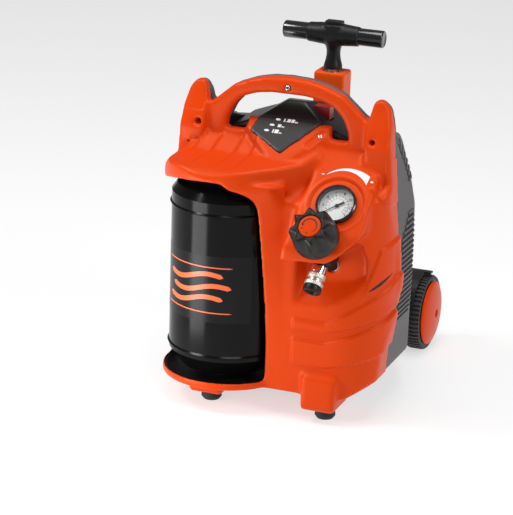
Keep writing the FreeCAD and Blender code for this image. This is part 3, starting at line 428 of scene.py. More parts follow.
def normals(mesh):
    n = np.zeros(len(mesh.vertices) * 3, np.float32)
    mesh.vertex_normals.foreach_get("vector", n)
    return n.reshape(-1, 3).astype(float)


def put(mesh, co):
    """Writes points back to a mesh."""
    mesh.vertices.foreach_set("co", co.astype(np.float32).ravel())
    mesh.update()


def relax(mesh, rounds, cap, weight=1.0):
    """Rounds edges: each point drifts towards its neighbours' middle, no further than cap (m)."""
    co = coordinates(mesh)
    ends = np.zeros(len(mesh.edges) * 2, int)
    mesh.edges.foreach_get("vertices", ends)
    a, b = ends.reshape(-1, 2).T
    count = np.bincount(a, minlength=len(co)) + np.bincount(b, minlength=len(co))
    start = co.copy()
    cap = np.broadcast_to(cap, len(co))
    weight = np.broadcast_to(weight, len(co))[:, None]
    for _ in range(rounds):
        total = np.stack([np.bincount(a, co[b, k], len(co)) + np.bincount(b, co[a, k], len(co))
                          for k in range(3)], 1)
        co = co + 0.5 * weight * (total / count[:, None] - co)
        drift = co - start
        length = np.linalg.norm(drift, axis=1)
        co = start + drift * np.minimum(1, cap / np.maximum(length, 1e-9))[:, None]
    put(mesh, co)


def remeshed(name, sources):
    """One closed skin around copies of meshes, on an even grid."""
    thing = bpy.data.objects.new(name, joined(name, sources))
    SCENE.collection.objects.link(thing)
    change = thing.modifiers.new("skin", "REMESH")
    change.mode, change.voxel_size, change.adaptivity = "VOXEL", VOXEL[name], 0
    graph = bpy.context.evaluated_depsgraph_get()
    mesh = bpy.data.meshes.new_from_object(thing.evaluated_get(graph))
    bpy.data.objects.remove(thing)
    mesh.name = name
    return mesh


def smoothstep(x, low, high):
    """0 below low, 1 above high, and a smooth rise between."""
    t = np.clip((x - low) / (high - low), 0, 1)
    return t * t * (3 - 2 * t)


# ---- the front shell ------------------------------------------------------------------------

# The control panel leans back from the vertical; its top meets the crest.
LEAN = math.radians(40)
NORMAL = Vector((0, -math.cos(LEAN), math.sin(LEAN)))
UP_PANEL = Vector((0, math.sin(LEAN), math.cos(LEAN)))
PANEL_TOP_BACK, PANEL_TOP_Z = -8, 372
GAUGE_X, GAUGE_Z = 91, 303
GAUGE = at(GAUGE_X, PANEL_TOP_BACK + (GAUGE_Z - PANEL_TOP_Z) * math.tan(LEAN), GAUGE_Z)
# The plan's rounded right-hand corner, and where the flat front beside it starts.
CORNER_X, CORNER_BACK, CORNER_RADIUS, FLAT_START = 96, -8, 62, 38


def on_panel(centre, x, up, out=0.0):
    """A point from x and up coordinates on the leaning panel about a centre, millimetres."""
    return centre + (Vector((x, 0, 0)) + UP_PANEL * up + NORMAL * out) * MM


def along_plan(x, back):
    """Distance round the front: along the flat first, then round the corner."""
    angle = np.arctan2(back - CORNER_BACK, x - CORNER_X)
    turned = np.clip(angle, -math.pi / 2, 0) + math.pi / 2
    return np.where(x < CORNER_X, x - FLAT_START,
                    CORNER_X - FLAT_START + CORNER_RADIUS * turned)


def column(levels):
    """A closed solid through outlines of (x, back) points at rising heights."""
    n = len(levels[0][1])
    verts = [at(x, back, z) for z, outline in levels for x, back in outline]
    faces = [(i * n + k, i * n + (k + 1) % n, (i + 1) * n + (k + 1) % n, (i + 1) * n + k)
             for i in range(len(levels) - 1) for k in range(n)]
    faces += [tuple(range(n)), tuple(range((len(levels) - 1) * n, len(levels) * n))]
    return closed_mesh(verts, faces)


def window_edges():
    """The thick edge that leans over the tank's right side and rounds into the visor, and
    the slim post that closes the window on the left."""
    right = []
    for z, lean, bulge in ((96, 0.5, 0.5), (150, 3, 3), (210, 7, 8), (262, 11, 12),
                           (284, 13, 14), (295, 17, 18), (303, 23, 24), (309, 32, 32),
                           (313, 44, 39), (322, 56, 41)):
        right.append((z, ((22, -66), (22, -70.5), (8, -70.5 - 0.5 * bulge),
                          (1.5 - lean, -70 - bulge), (-lean, -68.5 - bulge),
                          (-lean, -63 - bulge), (2, -63))))
    left = [(z, ((-edge, -15), (-edge, -0.4), (-151.2, -0.4), (-153.4, -15)))
            for z, edge in ((34.5, 156), (60, 158), (110, 159.5), (160, 160.5))]
    return [column(right), column(left)]


# Each band: its top edge's height on the front and at the parting plane, then its low edge's.
BANDS = ((140, 204, 127, 158), (113, 151, 78, 103))
BAND_HEIGHT, PANEL_HEIGHT, FIN_HEIGHT = 4.0, 3.2, 1.7
# Each flute: its x at the visor's back and at its front, and its height.
FLUTES = ((-112, -128, 2.2), (-86, -104, 2.2), (-56, -70, 2.2), (-36, -44, 1.7))


def raise_flank(push, n, x, back, z):
    """Two bands round the lower right corner, the flank's panel and the horn's fin."""
    s = along_plan(x, back)
    on_flat = x < CORNER_X
    outward = np.stack([np.where(on_flat, 0, x - CORNER_X),
                        np.where(on_flat, -1, back - CORNER_BACK)], 1)
    outward /= np.maximum(np.linalg.norm(outward, axis=1), 1e-9)[:, None]
    depth = np.hypot(np.where(on_flat, 0, x - CORNER_X),
                     np.where(on_flat, CORNER_RADIUS, back - CORNER_BACK))
    skin = ((n[:, :2] * outward).sum(1) > 0.35) & (x > 30) & (back < -1) & (depth > 52)
    rise = np.clip((s - 47) / (155 - 47), 0, 1)
    for top, top_end, low, low_end in BANDS:
        high_edge, low_edge = top + (top_end - top) * rise, low + (low_end - low) * rise
        band = smoothstep(high_edge - z, -0.8, 1.4) * smoothstep(z - low_edge, -0.8, 1.4)
        band *= smoothstep(s, 0, 2.5)
        push += np.where(skin, band * BAND_HEIGHT, 0)
    # the panel lies under a line that climbs to the parting plane
    line = np.interp(s, [88, 101.7, 118.1, 152.4], [164, 200, 243, 252])
    raised = smoothstep(line - z, -0.8, 1.2) * smoothstep(z, 160, 190) * smoothstep(s, 88, 97)
    push += np.where(skin & (s > 86), raised * PANEL_HEIGHT, 0)
    # the fin runs down the flank and ends in a step
    fin_edge = np.interp(z, [296, 303, 320, 352, 385], [150, 121, 104, 92, 86])
    fin = smoothstep(s - fin_edge, -0.8, 1.4) * smoothstep(z, 296.5, 299.5)
    fin *= smoothstep(-z, -386, -360)
    push += np.where(skin & (z > 290) & (z < 388), fin * FIN_HEIGHT, 0)


def sink_gauge_ring(push, n, co):
    """A round recess about the gauge, with a low rim."""
    normal = np.array(NORMAL)
    to_gauge = co - np.array(GAUGE)
    out = to_gauge @ normal / MM
    ring = np.linalg.norm(to_gauge / MM - np.outer(out, normal), axis=1)
    on_face = (n @ normal > 0.7) & (np.abs(out) < 3)
    push += np.where(on_face, -1.8 * smoothstep(-ring, -38, -34.5), 0)
    push += np.where(on_face, 0.8 * np.exp(-((ring - 39.5) / 1.6) ** 2), 0)


def sink_screw_slot(push, n, x, back, z):
    """An oblong recess for a screw on the crest, beside the dark plate."""
    start, end = np.array([36.0, -28.0, 366.5]), np.array([49.0, -13.5, 379.3])
    here = np.stack([x, back, z], 1) - start
    share = np.clip(here @ (end - start) / ((end - start) @ (end - start)), 0, 1)
    away = np.linalg.norm(here - share[:, None] * (end - start), axis=1)
    push -= np.where(n[:, 2] > 0.3, 2.2 * smoothstep(-away, -6.2, -3.6), 0)


def raise_flutes(push, n, x, back, z):
    """Soft flutes that fan down the visor."""
    roof = (n[:, 2] > 0.35) & (z > 326) & (back < -6) & (x < 46)
    for x0, x1, tall in FLUTES:
        line = x0 + (x1 - x0) * np.clip((-back - 8) / 84, 0, 1)
        fade = smoothstep(-back, 8, 22) * smoothstep(back, -97, -82)
        push += np.where(roof, tall * np.tanh((x - line) / 2.2) * fade
                         * np.exp(-np.abs(x - line) / 12), 0)


def front_shell():
    """The orange shell's skin, with the relief that its CAD solid leaves out."""
    mesh = remeshed("front_shell_skin", [NODES["front_shell"].data] + window_edges())
    x, back, z = in_mm(coordinates(mesh))
    cap = np.full(len(x), 2.2)                      # how far an edge may round, by region
    cap[(z > 285) & (back < -22) & (x < 45)] = 6
    cap[z > PANEL_TOP_Z] = 4.5
    cap[(z < 66) & (back < -16)] = 3.5
    cap *= MM
    relax(mesh, 22, cap, smoothstep(-back, 0.3, 3.0))
    co, n = coordinates(mesh), normals(mesh)
    spots = in_mm(co)
    push = np.zeros(len(co))
    raise_flank(push, n, *spots)
    sink_gauge_ring(push, n, co)
    sink_screw_slot(push, n, *spots)
    raise_flutes(push, n, *spots)
    put(mesh, co + n * (push * MM)[:, None])
    skin = finish_mesh("front_shell_skin", mesh, "orange_shell", "casing")
    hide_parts("front_shell")
    return skin


def surface_of(thing):
    """A tree for casting rays onto a piece."""
    return BVHTree.FromPolygons([v.co for v in thing.data.vertices],
                                [f.vertices[:] for f in thing.data.polygons])


def patch(name, rows, out, sink, material, body, slot=None):
    """A closed thin sheet that follows rows of (point, normal) on a surface."""
    wide, n = len(rows[0]), len(rows) * len(rows[0])
    spots = [spot for row in rows for spot in row]
    verts = [p + d * out * MM for p, d in spots] + [p - d * sink * MM for p, d in spots]
    faces = []
    for i in range(len(rows) - 1):
        for j in range(wide - 1):
            a, d = i * wide + j, (i + 1) * wide + j
            faces += [(a, a + 1, d + 1, d), (d + n, d + 1 + n, a + 1 + n, a + n)]
    rim = list(range(wide)) + [i * wide + wide - 1 for i in range(1, len(rows))]
    rim += list(range(n - 2, n - wide - 1, -1)) + [i * wide for i in range(len(rows) - 2, 0, -1)]
    faces += [(a, b, b + n, a + n) for a, b in zip(rim, rim[1:] + rim[:1])]
    return finish_mesh(name, closed_mesh(verts, faces), material, body, crease=40)


def bars(name, paths, width, height, material, body):
    """Raised bars along lists of (point, normal), as one piece."""
    section = ((-0.5, -0.5), (-0.5, 0.7), (-0.36, 1.0), (0.36, 1.0), (0.5, 0.7), (0.5, -0.5))
    verts, faces = [], []
    for path in paths:
        first, n = len(verts), len(section)
        for i, (spot, normal) in enumerate(path):
            way = (path[min(i + 1, len(path) - 1)][0] - path[max(i - 1, 0)][0]).normalized()
            side = way.cross(normal).normalized()
            verts += [spot + (side * a * width + normal * b * height) * MM for a, b in section]
        for i in range(len(path) - 1):
            for k in range(n):
                a, b = first + i * n + k, first + i * n + (k + 1) % n
                faces.append((a, b, b + n, a + n))
        faces.append(tuple(range(first, first + n)))
        last = first + (len(path) - 1) * n
        faces.append(tuple(range(last, last + n)))
    return finish_mesh(name, closed_mesh(verts, faces), material, body, crease=35)


def flank_spot(tree, sign, back, z):
    """Where a shell's side is met at a distance back and a height, and which way it faces."""
    hit = tree.ray_cast(at(sign * 400, back, z), Vector((-sign, 0, 0)))
    return None if hit[0] is None else (hit[0], hit[1])


# Each group: name, lowest and highest slat, pitch, front edge at a height, rear edge, slat width.
LOUVRES = (("low", 126, 272, 7.1, lambda z: 15 + max(0, z - 238) * 1.15, 68, 3.2),
           ("high", 312, 368, 8.6, lambda z: 38 + max(0, 352 - z) * 0.5, 92, 3.6))
LOUVRE_STEPS = 12


def add_louvres(rear):
    """Two groups of cooling slats on either flank of the rear shell, over a dark sheet of painted
    shade between them.
    """
    tree = surface_of(rear)

    def across(sign, z, first, last):
        return [flank_spot(tree, sign, first + (last - first) * j / LOUVRE_STEPS, z)
                for j in range(LOUVRE_STEPS + 1)]

    for side, sign in SIDES:
        for label, low, high, pitch, front, last, width in LOUVRES:
            count = int((high - low) / pitch)
            rows = []
            for i in range(2 * count + 1):
                z = low + pitch * i / 2
                rows.append(across(sign, z, front(z), last))
            # the dark sheet behind the slats is painted shade in the gaps
            patch(f"louvre_gap_shade_{label}_{side}", rows, 0.3, 0.6, "painted_hole_shade", "casing",
                  "grey_shell")
            paths = []
            for i in range(count + 1):
                z = low + pitch * i
                paths.append(across(sign, z, front(z) - 1.5, last + 1.5))
            bars(f"louvre_slats_{label}_{side}", paths, width, 1.7, "grey_shell", "casing")


def screw_head(name, spot, way, radius):
    """A domed screw head with a cross recess drawn as a dark plate of painted shade."""
    head = lathe([(0, -3), (radius, -3), (radius, 0.3), (radius * 0.8, 0.9),
                  (radius * 0.4, 1.1), (0, 1.15)], spot, way, 40)
    finish_mesh(name, head, "steel", "casing", crease=35)
    across = frame_for(way) @ Vector((1, 0, 0))
    up = Vector(way).normalized().cross(across)
    top = Vector(spot) + Vector(way).normalized() * 1.0 * MM
    a, b = radius * 0.62, radius * 0.13
    cross = [(a, b), (b, b), (b, a), (-b, a), (-b, b), (-a, b), (-a, -b), (-b, -b), (-b, -a),
             (b, -a), (b, -b), (a, -b)]
    # the cross is a dark plate on the head: painted shade of the recess
    plate(cross, top, across, up, 0.16, name + "_slot", "painted_hole_shade", "casing")


# The crest and the dark plate on it face the same way.
CREST_NORMAL = Vector((0, -0.686, 0.728))
UP_CREST = Vector((0, 0.728, 0.686))
RAY_REACH = 0.05
# Each row of marks: height on the plate, left end, bar height, bar widths.
PLATE_ROWS = ((23, -20, 4.8, (1.5, 0.9, 4.4, 4.4)), (13.6, -26, 4.4, (4.4,)),
              (4.4, -31, 5.6, (1.8, 5.4)))


def onto_crest(tree, x, back, z):
    """Where the crest is met from outside, above a point."""
    return tree.ray_cast(at(x, back, z) + CREST_NORMAL * RAY_REACH, -CREST_NORMAL)[0]


def add_label():
    """Rows of plain marks on the dark V-shaped plate: a round dot, bars and two small bars."""
    spot = onto_crest(surface_of(bpy.data.objects["top_cover_skin"]), 2, -22, 373)
    pieces = []

    def mark(outline):
        pieces.append(plate(outline, spot, ACROSS, UP_CREST, 0.14, f"mark{len(pieces)}",
                            "ink_white", None, sink=0.5))

    def leaning_bar(x, low, wide, high, lean):
        mark([(x, low), (x + wide, low), (x + wide + lean, low + high), (x + lean, low + high)])

    for up, x0, tall, widths in PLATE_ROWS:
        mark(oval(x0 + 3, up, 3.4, 1.7))
        x, low = x0 + 11, up - tall / 2
        for wide in widths:
            leaning_bar(x, low, wide, tall if wide > 1 else 1.0, 0.5)
            x += wide + 1.2
        for j in range(2):
            leaning_bar(x + 2.2 * j, low, 1.5, 2, 0.1)
    merged("plate_marks", pieces, "ink_white", "casing")


# The slit's rays start far out and run inward. A hit past the limit is the far wall, so the slit
# takes a set depth there. All in metres.
SLIT_START, SLIT_LIMIT, SLIT_DEPTH = 0.15, 0.12, 0.0885


def add_small_parts(front):
    """Screws, the flank's slit lined with painted shade, and the wedge beside the coupler."""
    screw_head("arch_screw", at(0, -16.2, 436), (0, -0.96, 0.28), 3.2)
    tree = surface_of(front)
    spot = onto_crest(tree, 47, -15.5, 377.5)
    screw_head("crest_screw", spot + CREST_NORMAL * 0.2 * MM, CREST_NORMAL, 3.0)
    rows = []
    for i in range(15):
        t = i / 14
        angle = math.radians(-50 + 34 * t)
        way = Vector((math.cos(angle), math.sin(angle), 0))
        half = 0.25 + 1.9 * math.sin(math.pi * t ** 0.8)
        row = []
        for up in (-half, 0, half):
            start = at(CORNER_X, CORNER_BACK, 188 + 19 * t + up) + way * SLIT_START
            hit = tree.ray_cast(start, -way)[0]
            if hit is None or (hit - start).length >= SLIT_LIMIT:
                hit = start - way * SLIT_DEPTH
            row.append((hit, way))
        rows.append(row)
    # the slit's lining is near black: painted shade inside the slit
    patch("flank_slit_shade", rows, 0.35, 2.5, "painted_hole_shade", "casing", "orange_shell")
    wedge = [(84, 247), (95, 249), (103, 236), (98, 234), (92, 241), (87, 240)]
    verts = [at(x, -96, z) for x, z in wedge] + [at(x - 1, -108, z - 2) for x, z in wedge]
    n = len(wedge)
    faces = [tuple(range(n)), tuple(range(2 * n - 1, n - 1, -1))]
    faces += [(i, (i + 1) % n, n + (i + 1) % n, n + i) for i in range(n)]
    finish_mesh("outlet_wedge", closed_mesh(verts, faces), "black_plastic", "casing",
                crease=30)


def soft_copy(node, name, rounds, cap, body, slot, extra=()):
    """A CAD node's skin with its edges rounded, in place of the node."""
    mesh = remeshed(name, [NODES[node].data, *extra])
    relax(mesh, rounds, cap * MM)
    skin = finish_mesh(name, mesh, slot, body)
    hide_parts(node)
    return skin


def paint_faces(thing, material, chosen):
    """Gives the faces for which chosen(centre, normal) holds a second material."""
    thing.data.materials.append(MATERIALS[material])
    index = len(thing.data.materials) - 1
    for face in thing.data.polygons:
        if chosen(face.center, face.normal):
            face.material_index = index


TANK_AXIS = Vector((-0.072, PARTING_Y - 0.023, 0))
TANK_RADIUS = 0.079
BAY_RADIUS, BAY_LOW, BAY_HIGH = 0.0865, 0.030, 0.330
TRAY_RADIUS, TRAY_HIGH = 0.0855, 0.044


def inside_window(centre, normal):
    """Whether a face of the front shell lines the tank's bay or tray; these faces are painted
    black as painted shade.
    """
    away = Vector((centre.x - TANK_AXIS.x, centre.y - TANK_AXIS.y, 0))
    if away.length > BAY_RADIUS or not BAY_LOW <= centre.z <= BAY_HIGH:
        return False
    if centre.z < TRAY_HIGH:
        return normal.z > 0.3 and away.length < TRAY_RADIUS
    return normal.dot(away.normalized()) < 0.25 or normal.z < -0.4


# ---- tank and its sticker -------------------------------------------------------------------


def on_tank(angle, z, out=0.0):
    """A point of the tank's side: degrees from its front towards +X, height, distance out."""
    turn = math.radians(angle)
    reach = TANK_RADIUS + out * MM
    return Vector((TANK_AXIS.x + reach * math.sin(turn), TANK_AXIS.y - reach * math.cos(turn),
                   z * MM))


def tank_ribbon(name, path, width, material, out, tips=True):
    """A flat stripe that follows (angle, z) points round the tank, with rounded ends."""
    per_degree = math.radians(1) * TANK_RADIUS / MM
    flat = [Vector((a * per_degree, z)) for a, z in path]
    left, right = [], []
    for i, spot in enumerate(flat):
        way = (flat[min(i + 1, len(flat) - 1)] - flat[max(i - 1, 0)]).normalized()
        side = Vector((-way.y, way.x)) * width / 2
        if tips:
            run = min(sum((flat[k + 1] - flat[k]).length for k in range(i)),
                      sum((flat[k + 1] - flat[k]).length for k in range(i, len(flat) - 1)))
            side *= math.sqrt(max(0.02, 1 - (1 - min(1, run / (width / 2))) ** 2))
        left.append(spot + side)
        right.append(spot - side)
    rows = []
    for shares, level in (((0.0,), -0.2), ((0.0, 0.33, 0.67, 1.0), out), ((1.0,), -0.2)):
        for share in shares:
            line = [a.lerp(b, share) for a, b in zip(left, right)]
            rows.append([on_tank(p.x / per_degree, p.y, level) for p in line])
    return add_strip(name, rows, material, "casing")


def add_strip(name, rows, material, body):
    """A closed strip: rows of points whose first and last rows lie sunk in the surface."""
    width = len(rows[0])
    verts = [p for row in rows for p in row]
    n = len(rows)
    faces = [(i * width + j, i * width + j + 1, ((i + 1) % n) * width + j + 1,
              ((i + 1) % n) * width + j) for i in range(n) for j in range(width - 1)]
    faces += [tuple(i * width for i in range(n)), tuple(i * width + width - 1 for i in range(n))]
    return finish_mesh(name, closed_mesh(verts, faces), material, body, crease=40)


def add_tank_sticker():
    """A dark sticker with three wavy stripes between two thin lines."""
    tank_ribbon("tank_sticker", [(-72 + 2.9 * i, 173.5) for i in range(41)], 92, "sticker", 0.12,
                tips=False)
    for k, (start, end, z) in enumerate(((-50, 16, 188), (-44, 24, 172), (-50, 16, 156))):
        path = []
        for i in range(25):
            t = i / 24
            path.append((start + (end - start) * t, z - 4.5 * math.sin(2 * math.pi * t) + 3 * t))
        tank_ribbon(f"air_stripe_{k}", path, 6.5, "ink_orange", 0.25)
    for k, z in enumerate((204, 141)):
        tank_ribbon(f"air_line_{k}", [(-56 + 3 * i, z) for i in range(28)], 1.6, "ink_orange",
                    0.25)


# ---- regulator knob, gauge, coupler ---------------------------------------------------------

REGULATOR = at(81, -73, 238)
OUTLET_WAY = Vector((-0.08, -0.64, -0.765)).normalized()
KNOB_TOP, KNOB_LOBES = 86.2, 4
ARROW_RADIUS = 9.6


def add_knob():
    """The scalloped knob, its orange disc, and the arrow and two dots on the disc."""
    profile = rounded([(0, 46), (24, 42), (30.6, 46), (31, 62), (30, 76), (27.5, 83.5),
                       (24, 85.4), (15.6, 85.4), (15.6, 83.2), (0, 83.2)], 3, 5)

    def lobes(angle, radius, along):
        if radius < 17:
            return radius
        deep = 7.2 * max(0.0, min(1, (along - 56) / 22)) ** 0.8
        valley = abs(math.cos(KNOB_LOBES * angle + 0.4)) ** 1.3
        return radius - deep * valley * min(1, (radius - 15.6) / 8)

    mesh = lathe(profile, REGULATOR, NORMAL, 240, lobes)
    knob = finish_mesh("knob_grip", mesh, "black_plastic", "knob", crease=35)
    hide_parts("regulator_knob")
    cap = lathe(rounded([(0, 83), (14.6, 83), (14.6, 85.2), (13.4, KNOB_TOP), (0, KNOB_TOP)], 0.8),
                REGULATOR, NORMAL, 96)
    disc = finish_mesh("knob_disc", cap, "orange_trim", "knob", crease=35)
    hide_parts("knob_cap")
    top = REGULATOR + NORMAL * KNOB_TOP * MM
    outer, inner = [], []
    for i in range(33):
        degrees = -62 + 232 * i / 32
        half = 0.25 + 0.75 * math.sin(math.pi * min(1, i / 20) / 2)
        outer.append(polar(ARROW_RADIUS + half, degrees))
        inner.append(polar(ARROW_RADIUS - half, degrees))
    head = [polar(12.2, 170), polar(9.2, 190), polar(7.0, 170)]
    plate(outer + head + inner[::-1], top, ACROSS, UP_PANEL, 0.12, "turn_arrow", "ink_black",
          "knob")
    diamond = [(1.3, 0), (0, 1.3), (-1.3, 0), (0, -1.3)]
    for k, degrees in enumerate((206, 262)):
        plate(diamond, on_panel(top, *polar(10.2, degrees)), ACROSS, UP_PANEL, 0.12,
              f"turn_dot_{k}", "ink_black", "knob")


def dial_text(words, spot, material):
    """A figure printed on the dial."""
    data = bpy.data.curves.new("figure", "FONT")
    data.body, data.size, data.extrude, data.offset = words, 5.2 * MM, 0.00004, 0.00012
    data.align_x, data.align_y = "CENTER", "CENTER"
    thing = bpy.data.objects.new("figure", data)
    SCENE.collection.objects.link(thing)
    mesh = bpy.data.meshes.new_from_object(thing)
    bpy.data.objects.remove(thing)
    turn = Matrix((Vector(ACROSS), UP_PANEL, NORMAL)).transposed().to_4x4()
    turn.translation = spot
    mesh.transform(turn)
    return finish_mesh("figure", mesh, material, "casing", smooth=False)


def merged(name, pieces, material, body):
    """Joins small pieces of one kind into one."""
    mesh = joined(name, [piece.data for piece in pieces])
    for piece in pieces:
        bpy.data.objects.remove(piece)
    return finish_mesh(name, mesh, material, body, smooth=False)


# The dial's scale: angle of its zero, its sweep, its last figure and the one printed in red.
SCALE_START, SCALE_SWEEP, SCALE_END, RED_FIGURE = 220, 260, 14, 10
TICKS_PER_FIGURE = 8
NEEDLE_ANGLE = 215
# Half of the needle: (distance towards its point, half width).
NEEDLE_SIDE = ((19, 0.25), (1.5, 0.65), (-1, 0.9), (-3, 1.2), (-10, 1.3))


def add_gauge():
    """The dial's print, the needle with its hub, and the ring about the case."""
    dial = GAUGE + NORMAL * -4.8 * MM
    marks, reds = [], []

    def printed(outline, material, where):
        where.append(plate(outline, dial, ACROSS, UP_PANEL, 0.06, f"{material}{len(where)}",
                           material, None))

    def tick(way, low, high, half, material, where):
        side = Vector((-way.y, way.x)) * half
        printed([tuple(way * low + side), tuple(way * high + side), tuple(way * high - side),
                 tuple(way * low - side)], material, where)

    count = SCALE_END // 2 * TICKS_PER_FIGURE
    for i in range(count + 1):
        way = Vector(polar(1, SCALE_START - SCALE_SWEEP * i / count))
        if i % 4 == 0:
            tick(way, 13.0, 16.0, 0.3, "ink_black", marks)
            tick(way, 10.4, 12.2, 0.22, "ink_red", reds)
        else:
            tick(way, 14.6, 15.8, 0.15, "ink_black", marks)
    for figure in range(0, SCALE_END + 1, 2):
        x, up = polar(18.8, SCALE_START - SCALE_SWEEP * figure / SCALE_END)
        material, where = ("ink_red", reds) if figure == RED_FIGURE else ("ink_black", marks)
        where.append(dial_text(str(figure), on_panel(dial, x, up, 0.05), material))
    end = SCALE_START - SCALE_SWEEP
    printed([polar(10.4, a) for a in range(SCALE_START, end - 1, -5)]
            + [polar(10.2, a) for a in range(end, SCALE_START + 1, 5)], "ink_red", reds)
    merged("dial_marks", marks, "ink_black", "casing")
    merged("dial_inner_scale", reds, "ink_red", "casing")
    along = Vector(polar(1, NEEDLE_ANGLE))
    side = Vector((-along.y, along.x))
    halves = [*NEEDLE_SIDE, (-10.6, 0), *[(a, -b) for a, b in NEEDLE_SIDE[::-1]]]
    outline = [tuple(along * a + side * b) for a, b in halves]
    hand = plate(outline, GAUGE + NORMAL * -3.2 * MM, ACROSS, UP_PANEL, 0.5, "needle_hand",
                 "ink_black", "needle", sink=0.1)
    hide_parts("gauge_needle")
    hub = lathe(rounded([(0, -4.6), (2.2, -4.6), (2.2, -2), (1.6, -1.4), (0, -1.4)], 0.5),
                GAUGE, NORMAL, 40)
    finish_mesh("needle_hub", hub, "dark_cover", "needle", crease=35)
    seat = lathe([(27.1, -3), (34.2, -3), (34.2, -1.7), (33.4, -1.45), (28.6, -1.3),
                  (27.1, -1.2)], GAUGE, NORMAL, 120)
    seat = finish_mesh("gauge_seat", seat, "orange_shell", "casing", crease=50)
    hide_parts("gauge_ring")


def add_crescent():
    """The white sweep about the gauge with a dot at either end."""
    outer, inner = [], []
    for i in range(41):
        t = i / 40
        outer.append(polar(46.2 + 10.4 * t ** 0.75, 121 - 69 * t))
        inner.append(polar(46 + 2.6 * math.sin(math.pi * t), 121 - 76 * t))
    shapes = (("white_sweep", outer + inner[::-1]), ("sweep_dot_0", oval(-28.5, 40.1, 2.0, 0.9)),
              ("sweep_dot_1", oval(39.0, 37.6, 2.2, 1.3)))
    for name, outline in shapes:
        plate(outline, GAUGE, ACROSS, UP_PANEL, 0.22, name, "ink_white", "casing", sink=0.6)


def add_coupler():
    """The quick coupler's knurled sleeve and its black end."""
    def knurl(count, low, high):
        def shape(angle, radius, along):
            if radius > 11.4 and low < along < high:
                return radius - 0.25 * (0.5 + 0.5 * math.cos(count * angle))
            return radius
        return shape

    def ring(low, high, radius):
        return [(radius - 0.9, low), (radius, low + 0.7), (radius, low + 1.2),
                (radius, high - 1.2), (radius, high - 0.7), (radius - 0.9, high)]

    profile = [(9.15, 31.7)] + ring(31.7, 38.4, 12.2) + [(9.9, 38.6), (9.7, 43.2)]
    profile += ring(43.4, 48.2, 12.8) + [(9.15, 48.2)]
    sleeve = lathe(profile, REGULATOR, OUTLET_WAY, 240, knurl(40, 31.4, 47.9))
    sleeve = finish_mesh("coupler_ring", sleeve, "nickel", "coupler", crease=32)
    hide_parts("coupler_sleeve")
    nose = lathe([(9.1, 49), (11.4, 49), (12.1, 49.8), (12.3, 55), (11.9, 56.6), (10.6, 57.4),
                  (8.2, 57.2), (7.5, 56.2), (7.5, 50), (9.1, 50)], REGULATOR, OUTLET_WAY, 120)
    nose = finish_mesh("coupler_end", nose, "black_plastic", "casing",
                       crease=35)
    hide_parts("coupler_nose")


# ---- trolley handle -------------------------------------------------------------------------

POLE = at(0, 163, 0)


def add_handle():
    """The T handle, its glossy grips, the release button and the collar."""
    centre = POLE + Vector((0, 0, 0.472))
    bar = lathe([(0, -37.5), (12.9, -37.5), (13.6, -36.8), (13.9, -30), (15.0, -18), (15.7, 0),
                 (15.0, 18), (13.9, 30), (13.6, 36.8), (12.9, 37.5), (0, 37.5)],
                centre, (1, 0, 0), 72)
    stem = lathe([(0, 424), (13.4, 424), (13.4, 425.5), (12.6, 430), (10.6, 437), (9.6, 444),
                  (9.8, 451), (11.6, 457), (15.5, 462.5), (17, 466), (0, 466)], POLE,
                 (0, 0, 1), 72)
    saddle = lathe([(0, 478), (15.5, 478), (15.5, 485.4), (14.6, 486.6), (0, 486.6)],
                   POLE, (0, 0, 1), 48, lambda a, r, z: r * (1 + 0.10 * math.cos(2 * a)))
    mesh = remeshed("handle_head", [bar, stem, saddle])
    relax(mesh, 14, 0.0016)
    head = finish_mesh("handle_head", mesh, "black_plastic", "handle")
    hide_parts("handle_clamp", "handle_neck")
    for side, sign in SIDES:
        grip = lathe([(0, 30), (12, 30), (12, 69.6), (11.7, 70.8), (11, 71.6), (10.2, 71.9),
                      (9.6, 71.5), (0, 71.5)], centre, (sign, 0, 0), 96)
        finish_mesh(f"grip_{side}", grip, "gloss_black", "handle",
                                 crease=40)
    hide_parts("handle_grips")
    soft_copy("release_button", "release_pad", 12, 1.4, "release", "black_plastic")
    collar = soft_copy("handle_collar", "collar_skin", 14, 2.4, "casing", "orange_trim")
    # the collar takes the lighter orange: painted light
    collar.material_slots[0].material = MATERIALS["orange_painted_light"]


# ---- wheels ---------------------------------------------------------------------------------


TREAD_RIBS, TREAD_DEPTH, TREAD_GAP = 52, 2.4, 0.4
WHEEL_INNER_X = 0.103


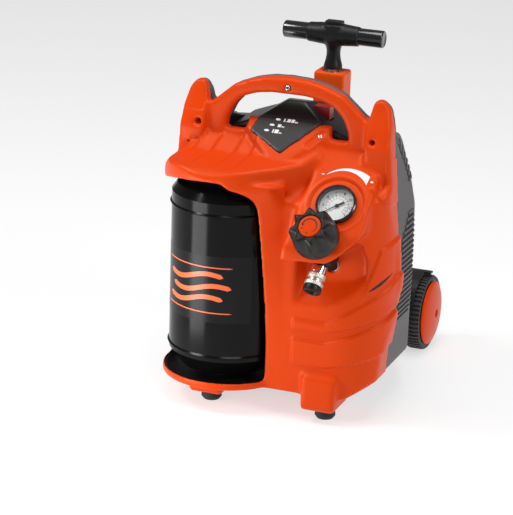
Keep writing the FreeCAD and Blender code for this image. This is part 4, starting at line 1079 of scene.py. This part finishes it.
def add_wheels():
    """Tyres with a ribbed tread, and the domed discs over the hubs."""
    axle = (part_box("axle")[0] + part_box("axle")[1]) / 2

    def tread(angle, radius, along):
        if radius < 51 or not 1.5 < along < 23.5:
            return radius
        turn = (angle * TREAD_RIBS / (2 * math.pi)) % 1
        return radius - (TREAD_DEPTH if turn < TREAD_GAP else 0)

    profile = [(47.6, 1), (49, 0.6), (51.2, 0.2), (53.0, 1.2), (54.2, 3), (54.6, 6),
               (54.6, 11.6), (53.6, 12.1), (53.6, 12.9), (54.6, 13.4), (54.6, 19), (54.2, 22),
               (53.0, 23.8), (51.2, 24.8), (49, 24.4), (47.6, 24)]
    dome = [(0, 23.4), (10, 23.4), (43.4, 17), (43.4, 24.6), (45.4, 24.8), (46, 25.4),
            (45.8, 26.8), (44.6, 28), (40, 29.9), (30, 32.2), (18, 33.8), (9, 34.5),
            (6.4, 34.4), (5.6, 33.7), (5.4, 29), (0, 29)]
    for side, sign in SIDES:
        origin = Vector((sign * WHEEL_INNER_X, axle.y, axle.z))
        tyre = lathe(profile, origin, (sign, 0, 0), TREAD_RIBS * 8, tread)
        tyre = finish_mesh(f"tyre_{side}", tyre, "tyre", f"wheel_{side}", crease=40)
        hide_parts(f"wheel_tyre_{side}")
        cap = lathe(dome, origin, (sign, 0, 0), 120)
        cap = finish_mesh(f"hub_dome_{side}", cap, "orange_trim", f"wheel_{side}",
                          crease=40)
        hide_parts(f"hub_cap_{side}")


# ---- build ----------------------------------------------------------------------------------

# A post that fills the rear shell's left edge beside the front shell: (height, half width).
LEFT_EDGE = ((57, 152.6), (103, 153), (140, 155.4), (208, 158.2), (253, 155.4), (296, 152.6),
             (318, 152.6))

dress_nodes()
add_camera()
add_stage()
FRONT = front_shell()
# the faces that line the tank's bay and tray are painted black: painted shade
paint_faces(FRONT, "black_plastic", inside_window)
POST = column([(z, ((-edge, 0.6), (-edge, 16), (-149.6, 16), (-149.6, 0.6)))
               for z, edge in LEFT_EDGE])
REAR = soft_copy("rear_shell", "rear_shell_skin", 14, 3.0, "casing", "grey_shell", [POST])
soft_copy("top_cover", "top_cover_skin", 8, 2.0, "casing", "dark_cover")
add_louvres(REAR)
add_label()
add_small_parts(FRONT)
add_tank_sticker()
add_knob()
add_gauge()
add_crescent()
add_coupler()
add_handle()
add_wheels()
